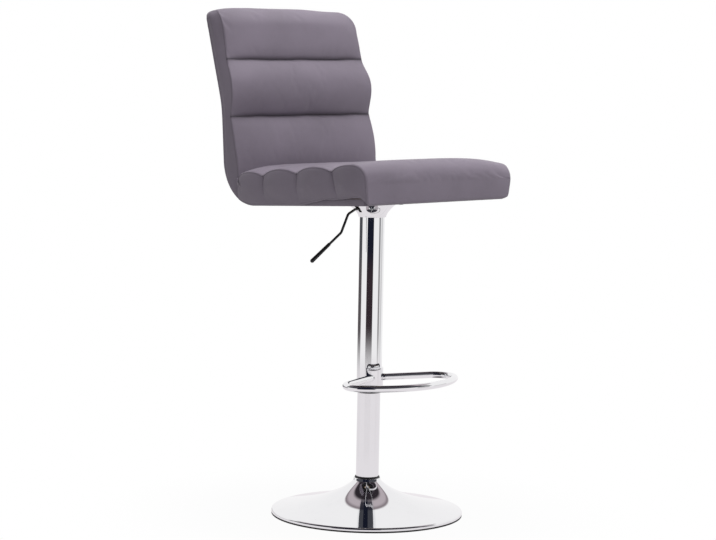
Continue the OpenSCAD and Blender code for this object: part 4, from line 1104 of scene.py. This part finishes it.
class STOOL_OT_covers(bpy.types.Operator):
    """Makes the shell's coverings: the rolled edge, the rear panel, the cloth and its staples"""
    bl_idname = "stool.covers"
    bl_label = "Covers"

    def execute(self, context):
        shell, edge = sizes("stool_shell"), sizes("stool_shell_edge")
        line = BackLine(bent=True)
        bend = shell.bend_r * shell.low_angle
        self.rolled_edge(edge, line, -bend - shell.bend_y - edge.front)
        self.rear_panel(edge, line, -bend - shell.bend_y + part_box("dust_cover")[1].y)
        self.cloth()
        return {"FINISHED"}

    def rolled_edge(self, edge, line, front):
        """A folded strip of leather swept along the shell's outline in the plane of x and the
        length s: its L-shaped section, given by how far it stands out and how far it reaches
        behind the shell's line, goes smoothly from the seat's to the back's."""
        outline = filleted([(-edge.half_w, edge.top), (edge.half_w, edge.top),
                            (edge.half_w, front), (-edge.half_w, front)],
                           [edge.corner, edge.corner, 0.002, 0.002], 12)
        closed = np.vstack([outline, outline[:1]])
        far = np.concatenate([[0], np.cumsum(np.linalg.norm(np.diff(closed, axis=0), axis=1))])
        along = np.linspace(0, far[-1], 681)[:-1]
        x, s = (np.interp(along, far, closed[:, i]) for i in range(2))
        way = np.stack([np.roll(x, -1) - np.roll(x, 1), np.roll(s, -1) - np.roll(s, 1)], -1)
        way /= np.linalg.norm(way, axis=1, keepdims=True)
        out = np.stack([-way[:, 1], way[:, 0]], -1)
        out *= np.sign((out * np.stack([x, s - 0.05], -1)).sum(1))[:, None]

        inner, face = -0.007, -0.0014

        def section(stand, deep, behind, roll):
            """The strip's section: out from the outline, and forward or back of the line."""
            return filleted([(inner, behind), (stand, behind), (stand, -deep), (0.0, -deep),
                             (0.0, face), (inner, face)],
                            [0.0006, roll, 0.0007, 0.0006, 0.0002, 0.0004])

        on_back = smooth_step(s, -0.09, 0.03)[:, None, None]
        near_top = smooth_step(s, edge.top - 0.03, edge.top - 0.004)[:, None, None]
        seat = section(edge.seat_out, edge.seat_deep, 0.0008, 0.0012)[None]
        back = section(edge.back_out, edge.back_deep, 0.001, 0.0026)[None]
        top = section(0.0016, 0.0026, 0.0015, 0.0014)[None]
        shape = seat + (back - seat) * on_back
        shape = shape + (top - shape) * near_top
        px = x[:, None] + shape[..., 0] * out[:, :1]
        ps = s[:, None] + shape[..., 0] * out[:, 1:]
        y, z = line.point(ps, -shape[..., 1])
        points = seat_to_row(np.stack([px, y, z], -1))
        obj = new_mesh("rolled_edge", points, grid_faces(*points.shape[:2], True, True), "seat",
                       "upholstery", "edge")

    def rear_panel(self, edge, line, low_s):
        """The padded panel behind the back: over x and s it stands behind the shell by a thin
        edge plus the padding times (1 - u^8)(1 - v^8), u and v running from -1 to 1 across it,
        and a flat inner side closes it."""
        u = np.sin(np.linspace(-np.pi / 2, np.pi / 2, 45))[:, None]
        v = np.sin(np.linspace(-np.pi / 2, np.pi / 2, 91))[None, :]
        top_s = edge.top - 0.003
        s = low_s + (top_s - low_s) * (v + 1) / 2 + 0 * u
        corner = ellipse_draw(edge.corner, edge.corner, top_s - s)
        x = (edge.half_w - 0.003 - corner) * u
        crown = (1 - u ** 8) * (1 - v ** 8)
        outer = edge.panel * crown - 0.0002
        outer = outer + 0.0004 * np.sin(s * 55 + x * 21) * crown
        rings = []
        for behind, order in ((outer, 1), (0 * outer - 0.0014, -1)):
            y, z = line.point(s, -behind)
            rings.append(np.stack([x, y, z], -1)[:, ::order])
        points = seat_to_row(np.concatenate(rings, 1))
        obj = new_mesh("rear_panel", points, closed_skin(*points.shape[:2]), "seat",
                       "upholstery")
        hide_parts("rear_cover")

    def cloth(self):
        """The cloth under the seat, cut round the plate's opening. Its outline is a rounded
        rectangle, each side the sine or cosine to a low power. It rises towards the opening,
        hangs down between the staples by a product of sines, and an upper side closes it."""
        low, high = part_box("dust_cover")
        half_x, half_y = high.x - 0.002, (high.y - low.y) / 2 - 0.0015
        middle = (high.y + low.y) / 2
        angle = round_steps(320)
        share = np.linspace(0, 1, 34)[None, :]
        cos, sin = np.cos(angle), np.sin(angle)
        power = 0.12
        outer_x = half_x * np.sign(cos) * np.abs(cos) ** power
        outer_y = middle + half_y * np.sign(sin) * np.abs(sin) ** power
        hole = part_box("sleeve_cap")[1].x + 0.0085
        size = np.maximum(np.abs(cos), np.abs(sin))
        hole_x, hole_y = hole * cos / size, hole * sin / size
        x = hole_x + (outer_x - hole_x) * share
        y = hole_y + (outer_y - hole_y) * share
        hang = 0.0009 * np.sin(np.pi * share) ** 2 * (1 + 0.35 * np.sin(angle * 14) * share
                                                       + 0.2 * np.sin(angle * 5 + 1))
        lift = 0.0021 * (1 - share) ** 4
        lower = np.stack([x, y, lift - 0.0002 - hang + 0 * x], -1)
        upper = np.stack([x, y, lift + 0.0005 - hang * 0.9 + 0 * x], -1)
        points = seat_to_row(np.concatenate([lower, upper[:, ::-1]], 1))
        obj = new_mesh("under_cloth", points, grid_faces(*points.shape[:2], True, True), "seat",
                       "lining")
        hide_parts("dust_cover")
        self.staples(half_x - 0.008, half_y - 0.008, middle)

    def staples(self, half_x, half_y, middle):
        """Flat wire staples round the cloth's edge, each a bar with its two legs bent in: a
        square section carried along three straight runs."""
        wide, tall = 14, 11
        even_x = np.linspace(-1, 1, wide) * (half_x - 0.012)
        even_y = np.linspace(-1, 1, tall) * (half_y - 0.012)
        spots = np.vstack(
            [np.column_stack([even_x, 0 * even_x + y, 0 * even_x]) for y in (half_y, -half_y)]
            + [np.column_stack([0 * even_y + x, even_y, 0 * even_y + 1])
               for x in (half_x, -half_x)])
        turned = spots[:, 2] * np.pi / 2 + 0.12 * np.sin(np.arange(len(spots)) * 2.3)
        leg = np.array([[0.0052, 0.0012], [0.0052, -0.0001], [0.0047, -0.0006]])
        run = np.vstack([leg * [-1, 1], leg[::-1]])
        half = 0.0004
        section = half * np.array([[-1, -1], [1, -1], [1, 1], [-1, 1]])
        local = np.stack([
            run[:, None, 0] + 0 * section[None, :, 0],
            section[None, :, 0] + 0 * run[:, None, 0],
            run[:, None, 1] + section[None, :, 1]], -1).reshape(-1, 3)
        c, s = np.cos(turned)[:, None], np.sin(turned)[:, None]
        x = spots[:, :1] + local[None, :, 0] * c - local[None, :, 1] * s
        y = spots[:, 1:2] + middle + local[None, :, 0] * s + local[None, :, 1] * c
        z = local[None, :, 2] - 0.0003 + 0 * x
        points = seat_to_row(np.stack([x, y, z], -1))
        faces = np.vstack([grid_faces(len(run), 4, False, True), [[0, 1, 2, 3]],
                           [np.arange(4) + 4 * (len(run) - 1)]])
        faces = (faces[None] + (np.arange(len(spots)) * len(local))[:, None, None]).reshape(-1, 4)
        new_mesh("staples", points, faces, "seat", "steel")


class STOOL_OT_chrome(bpy.types.Operator):
    """Makes the smooth chrome: base, column, sleeve, cap and footrest"""
    bl_idname = "stool.chrome"
    bl_label = "Chrome"

    def execute(self, context):
        metal = sizes("stool_metal")
        self.tubes()
        self.base(metal)
        self.cap(metal)
        self.footrest(metal)
        return {"FINISHED"}

    def add(self, name, points, faces, body, node):
        """A chromed piece in the place of a node's solid."""
        obj = new_mesh(name, points, faces, body, "chrome")
        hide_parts(node)
        return obj

    def tubes(self):
        """The column's two tubes, with bevelled ends. A ring of points two walls from each end
        keeps the smooth shading of the long side level."""
        for name, node, body, wall in (("lower_column", "column_tube", "base", 0.002),
                                       ("sliding_sleeve", "upper_sleeve", "seat", 0.0012)):
            low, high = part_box(node)
            r = high.x
            outline = filleted([(r - wall, low.z), (r, low.z), (r, high.z), (r - wall, high.z)],
                               [wall / 3] * 4)
            held = [[r, low.z + 2 * wall], [r, high.z - 2 * wall]]
            outline = np.insert(outline, len(outline) // 2, held, axis=0)
            self.add(name, *revolved(outline, 160), body, node)

    def base(self, metal):
        """The trumpet: height = rim + rest * (ln(R / r) / ln(R / neck)) ^ bow, with the inner
        side one sheet's thickness along the normal, and a quarter circle at the rim."""
        low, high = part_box("base_disc")
        base_r, neck_r, wall = high.x, metal.neck_r, metal.base_wall
        rest = high.z - metal.throat_h - metal.rim_h
        r = neck_r * ((base_r - metal.rim_round) / neck_r) ** np.linspace(0, 1, 90)
        z = metal.rim_h + rest * (np.log(base_r / r) / math.log(base_r / neck_r)) ** metal.bow
        slope = np.stack([np.gradient(z), -np.gradient(r)], -1)
        slope /= np.linalg.norm(slope, axis=1, keepdims=True)
        inner = (np.stack([r, z], -1) + wall * slope)[::-1]
        inner = inner[(inner[:, 0] < base_r - 2 * wall) & (inner[:, 0] > neck_r - wall)]
        edge_z = z[-1] - metal.rim_round
        bow = np.radians(np.linspace(80, 0, 8))[:, None]
        rim = (np.array([base_r - metal.rim_round, edge_z])
               + metal.rim_round * np.concatenate([np.cos(bow), np.sin(bow)], 1))
        outline = np.vstack([
            [[neck_r - wall, high.z], [neck_r - wall / 3, high.z], [neck_r, high.z - wall / 3]],
            np.stack([r, z], -1), rim,
            [[base_r, low.z + 0.0004], [base_r - 0.0004, low.z], [base_r - wall, low.z],
             [base_r - wall, edge_z]],
            inner, [[neck_r - wall, inner[-1, 1]]]])
        self.add("trumpet_base", *revolved(outline, 224), "base", "base_disc")

    def cap(self, metal):
        """The flared cap: radius = foot + flare * k ^ power up its height, with its rim
        against the tilted plate and a notch for the lever on the -X side."""
        low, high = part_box("sleeve_cap")
        plate_low, plate_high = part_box("seat_plate")
        fall = math.tan(sizes("stool_shell").tilt)
        sleeve_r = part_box("upper_sleeve")[1].x
        wall = metal.cap_wall
        k = np.linspace(0, 1, 30)
        r = sleeve_r + wall + (high.x - sleeve_r - wall) * k ** metal.cap_flare
        steps = 192
        angle = round_steps(steps)
        top = plate_low.z + (plate_high.y - r * np.sin(angle)) * fall - 0.0003
        z = low.z + (top - low.z) * k
        points = np.stack([r * np.cos(angle), r * np.sin(angle), z], -1)
        faces = grid_faces(steps, len(k), True, False)
        lever_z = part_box("lever_pin")[0].z - 0.003
        middle = points.reshape(-1, 3)[faces].mean(1)
        notch = (middle[:, 0] < 0) & (abs(middle[:, 1]) < 0.0046) & (middle[:, 2] > lever_z)
        obj = self.add("flared_cap", points, faces[~notch], "seat", "sleeve_cap")
        sheet = obj.modifiers.new("sheet", "SOLIDIFY")
        sheet.thickness, sheet.offset = wall, -1

    def footrest(self, metal):
        """The bar's centre line: a wide arc in front, an arc at each end that meets it as a
        tangent, and straight arms to the saddle, mirrored in X."""
        bar_low, bar_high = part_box("footrest_loop")
        low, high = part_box("footrest_saddle")
        height = (bar_low.z + bar_high.z) / 2
        saddle_r = max(abs(low.y), high.x)
        front_y = metal.front_r - metal.reach
        end_y = front_y - math.sqrt((metal.front_r - metal.end_r) ** 2 - metal.end_x ** 2)
        half_angle = math.atan2(metal.end_x, front_y - end_y)
        arm = np.array([metal.arm_x, -math.sqrt(saddle_r ** 2 - metal.arm_x ** 2) + 0.002])
        to_end = np.array([metal.end_x, end_y]) - arm
        far = np.linalg.norm(to_end)
        arm_angle = math.atan2(to_end[1], to_end[0]) + math.asin(metal.end_r / far)
        arm_len = math.sqrt(far ** 2 - metal.end_r ** 2)
        wide = np.linspace(0, half_angle, 60)[:, None] - np.pi / 2
        tight = np.linspace(half_angle - np.pi / 2, arm_angle + np.pi / 2, 40)[1:, None]
        along = np.linspace(arm_len, 0, 16)[1:, None]
        half = np.vstack([
            [0, front_y] + metal.front_r * np.hstack([np.cos(wide), np.sin(wide)]),
            [metal.end_x, end_y] + metal.end_r * np.hstack([np.cos(tight), np.sin(tight)]),
            arm + along * np.array([math.cos(arm_angle), math.sin(arm_angle)])])
        path = np.vstack([half[::-1] * [-1, 1], half[1:]])
        path = np.column_stack([path, np.full(len(path), height)])
        self.add("footrest_bar", *swept(path, metal.bar_r, 28), "seat", "footrest_loop")


class STOOL_OT_fittings(bpy.types.Operator):
    """Gives every other piece of the stool its finish"""
    bl_idname = "stool.fittings"
    bl_label = "Fittings"

    def execute(self, context):
        slots = {p["node"]: p["material_slot"] for p in frame["record"]["subparts"]}
        for name, node in NODES.items():
            node.data.materials.clear()
            node.data.materials.append(finish(slots[name]))
        return {"FINISHED"}


class STOOL_OT_stage(bpy.types.Operator):
    """Sets the floor, the soft light and the camera"""
    bl_idname = "stool.stage"
    bl_label = "Stage"

    def execute(self, context):
        stage = sizes("stool_stage")
        scene = context.scene
        scene.view_settings.view_transform = "Standard"
        self.camera(scene, stage)
        self.floor()
        self.world(scene, stage)
        self.lamps(scene, stage)
        return {"FINISHED"}

    def frame_axes(self, stage):
        """The directions right, away and up of the photograph's view, in the row frame."""
        s, c = math.sin(stage.azimuth), math.cos(stage.azimuth)
        return np.array([s, -c, 0]), np.array([c, s, 0]), np.array([0, 0, 1.0])

    def put(self, scene, name, data, *columns):
        """Links an object whose matrix has these columns: its three axes and its place."""
        obj = bpy.data.objects.new(name, data)
        matrix = np.eye(4)
        matrix[:3] = np.column_stack(columns)
        obj.matrix_world = Matrix(matrix.tolist())
        scene.collection.objects.link(obj)
        return obj

    def camera(self, scene, stage):
        """The camera's axes from its yaw, pitch and roll in the view's own frame."""
        right, away, up = self.frame_axes(stage)
        flat_ahead = right * math.sin(stage.yaw) + away * math.cos(stage.yaw)
        side = right * math.cos(stage.yaw) - away * math.sin(stage.yaw)
        ahead = flat_ahead * math.cos(stage.pitch) - up * math.sin(stage.pitch)
        over = np.cross(side, ahead)
        c, s = math.cos(stage.roll), math.sin(stage.roll)
        data = bpy.data.cameras.new("camera")
        data.lens, data.sensor_width = stage.lens, 36
        data.clip_start, data.clip_end = 0.1, 100
        scene.camera = self.put(scene, "camera", data, c * side + s * over, c * over - s * side,
                                -ahead, -away * stage.distance + up * stage.height)

    def floor(self):
        """A round floor: rings of points whose radius grows by a power. The camera sees it
        white, with the shadows, and not at all from below. Mirrors see a pale disc that fades
        out, and other rays a grey one."""
        rings, sides = 24, 96
        r = 6.0 * np.linspace(0, 1, rings + 1)[1:] ** 1.5
        angle = round_steps(sides)
        points = np.stack([r * np.cos(angle), r * np.sin(angle), 0 * r + 0 * angle], -1)
        faces = grid_faces(sides, rings, True, False)[:, ::-1].tolist()
        faces += [list(range(0, sides * rings, rings))]
        mesh = bpy.data.meshes.new("floor")
        mesh.from_pydata(points.reshape(-1, 3).tolist(), [], faces)
        obj = bpy.data.objects.new("floor", mesh)
        bpy.context.scene.collection.objects.link(obj)
        made = Finish("pale_floor")
        path = made.node("ShaderNodeLightPath", {})
        seen = path[IS_CAMERA].maths("MAXIMUM", path[IS_TRANSMITTED])
        diffuse = made.node("ShaderNodeBsdfDiffuse", {}, (0.5, 0.5, 0.5, 1))[0]
        white = made.node("ShaderNodeEmission", {}, WHITE, 1.0)[0]
        place = made.node("ShaderNodeTexCoord", {})[OBJECT]
        away = made.node("ShaderNodeVectorMath", {"operation": "LENGTH"}, place)[1]
        keep = 0.95 + away.ramp(0.2, 0.6) * 0.05
        pale = made.node("ShaderNodeEmission", {}, (*PALE, 1), 1.0)[0]
        open_air = made.node("ShaderNodeBsdfTransparent", {})[0]
        mirrored = made.shade(away.ramp(0.5, 0.8), pale, open_air)
        shade = made.shade(path[IS_GLOSSY], made.shade(seen * keep, diffuse, white), mirrored)
        below = made.node("ShaderNodeNewGeometry", {})[BACKFACING]
        made.surface(made.shade(below * path[IS_CAMERA], shade, open_air))
        mesh.materials.append(made.material)

    def world(self, scene, stage):
        """White to the camera. Mirrors see a pale room, its dark openings, and a grey ceiling
        with a dark rim and a dark middle, all by the direction's height from -1 to 1. Other
        rays get an even light that is stronger from above."""
        world = bpy.data.worlds.new("studio")
        world.use_nodes = True
        scene.world = world
        made = Finish("studio", world.node_tree)
        path = made.node("ShaderNodeLightPath", {})
        seen = path[IS_CAMERA].maths("MAXIMUM", path[IS_TRANSMITTED])
        direction = made.node("ShaderNodeTexCoord", {})[GENERATED]
        height = made.node("ShaderNodeSeparateXYZ", {}, direction)[2]
        dark = self.openings(made, direction, height, stage)
        walls = made.mix(height.ramp(-0.152, -0.136), PALE, (0.97, 0.96, 0.965))
        ceiling = height.ramp(0.68, 0.71)
        rim = ceiling * (1 - height.ramp(0.69, 0.75))
        mirrored = made.mix(ceiling, walls, (0.5, 0.44, 0.47))
        mirrored = made.mix(rim * 0.85, mirrored, (0.13, 0.1, 0.115))
        mirrored = made.mix(height.ramp(0.80, 0.86), mirrored, (0.03, 0.024, 0.03))
        band = made.mix(height.ramp(-0.108, -0.094), (0.036, 0.024, 0.03), (0.01, 0.012, 0.024))
        dark = dark * (1 - (1 - height.ramp(-0.152, -0.128)) * 0.96)
        mirrored = made.mix(dark, mirrored, band)
        overhead = stage.sky * (0.66 + height * 0.75)
        even, gloss, white = (
            made.node("ShaderNodeBackground", {}, tone, strength)[0]
            for tone, strength in ((WHITE, overhead), (mirrored, 1.0), (WHITE, 1.0)))
        shade = made.shade(seen, made.shade(path[IS_GLOSSY], even, gloss), white)
        made.surface(shade, "ShaderNodeOutputWorld")

    def openings(self, made, direction, height, stage):
        """Dark upright openings of the studio: smooth bands of the direction's azimuth, from
        the camera's side, up to a height each."""
        right, away, _ = self.frame_axes(stage)
        across, toward = (
            made.node("ShaderNodeVectorMath", {"operation": "DOT_PRODUCT"}, direction,
                      tuple(axis))[1] for axis in (right, -away))
        angle = across.maths("ARCTAN2", toward)
        edge = math.radians(3)
        dark = None
        for low, high, bottom, top, depth in (
                (-43, 19, -1.2, 0.9, 1.0), (-166, -97, -1.2, 0.1, 0.93),
                (69, 90, -1.2, 0.1, 0.72), (94, 122, -1.2, 0.1, 0.28),
                (-110, 95, 0.2, 0.88, 0.94)):
            low, high = math.radians(low), math.radians(high)
            band = angle.ramp(low, low + edge) * (1 - angle.ramp(high - edge, high))
            band = band * (1 - height.ramp(top - 0.1, top)) * depth
            band = band * height.ramp(bottom - 0.05, bottom)
            dark = band if dark is None else dark.maths("MAXIMUM", band)
        return dark

    def lamps(self, scene, stage):
        """Two large soft lamps, out of the mirrors' sight."""
        right, away, up = self.frame_axes(stage)
        for name, place, size, power in (
                ("key", right * 1.7 - away * 1.3 + up * 2.9, 1.8, stage.key),
                ("top", right * 0.4 + away * 0.6 + up * 3.0, 2.2, stage.top)):
            data = bpy.data.lights.new(name, "AREA")
            data.shape, data.size, data.energy = "DISK", size, power
            back = place - up * 0.6
            back /= np.linalg.norm(back)
            side = np.cross([0, 1, 0] if abs(back[2]) > 0.95 else up, back)
            side /= np.linalg.norm(side)
            obj = self.put(scene, name, data, side, np.cross(back, side), back, place)
            obj.visible_glossy = False


class STOOL_PT_panel(bpy.types.Panel):
    """Lists the stool's pieces in the sidebar"""
    bl_idname = "STOOL_PT_panel"
    bl_label = "Bar stool"
    bl_space_type = "VIEW_3D"
    bl_region_type = "UI"
    bl_category = "Bar stool"

    def draw(self, context):
        for operator in OPERATORS:
            self.layout.operator(operator.bl_idname)


GROUPS = {
    "stool_shell": StoolShellSizes,
    "stool_seat": StoolSeatSizes,
    "stool_back": StoolBackSizes,
    "stool_shell_edge": StoolShellEdge,
    "stool_metal": StoolMetalSizes,
    "stool_finishes": StoolFinishes,
    "stool_stage": StoolStage,
}
OPERATORS = (
    STOOL_OT_fittings,
    STOOL_OT_chrome,
    STOOL_OT_seat_cushion,
    STOOL_OT_back_cushion,
    STOOL_OT_covers,
    STOOL_OT_stage,
)


def register():
    """Registers the property groups, the operators and the panel."""
    for name, group in GROUPS.items():
        bpy.utils.register_class(group)
        setattr(bpy.types.Scene, name, PointerProperty(type=group))
    for item in (*OPERATORS, STOOL_PT_panel):
        bpy.utils.register_class(item)


def unregister():
    """Removes them again."""
    for item in (STOOL_PT_panel, *reversed(OPERATORS)):
        bpy.utils.unregister_class(item)
    for name, group in reversed(list(GROUPS.items())):
        delattr(bpy.types.Scene, name)
        bpy.utils.unregister_class(group)


def main():
    register()
    for operator in OPERATORS:
        group, name = operator.bl_idname.split(".")
        getattr(getattr(bpy.ops, group), name)()
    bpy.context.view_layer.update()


if __name__ == "__main__":
    main()
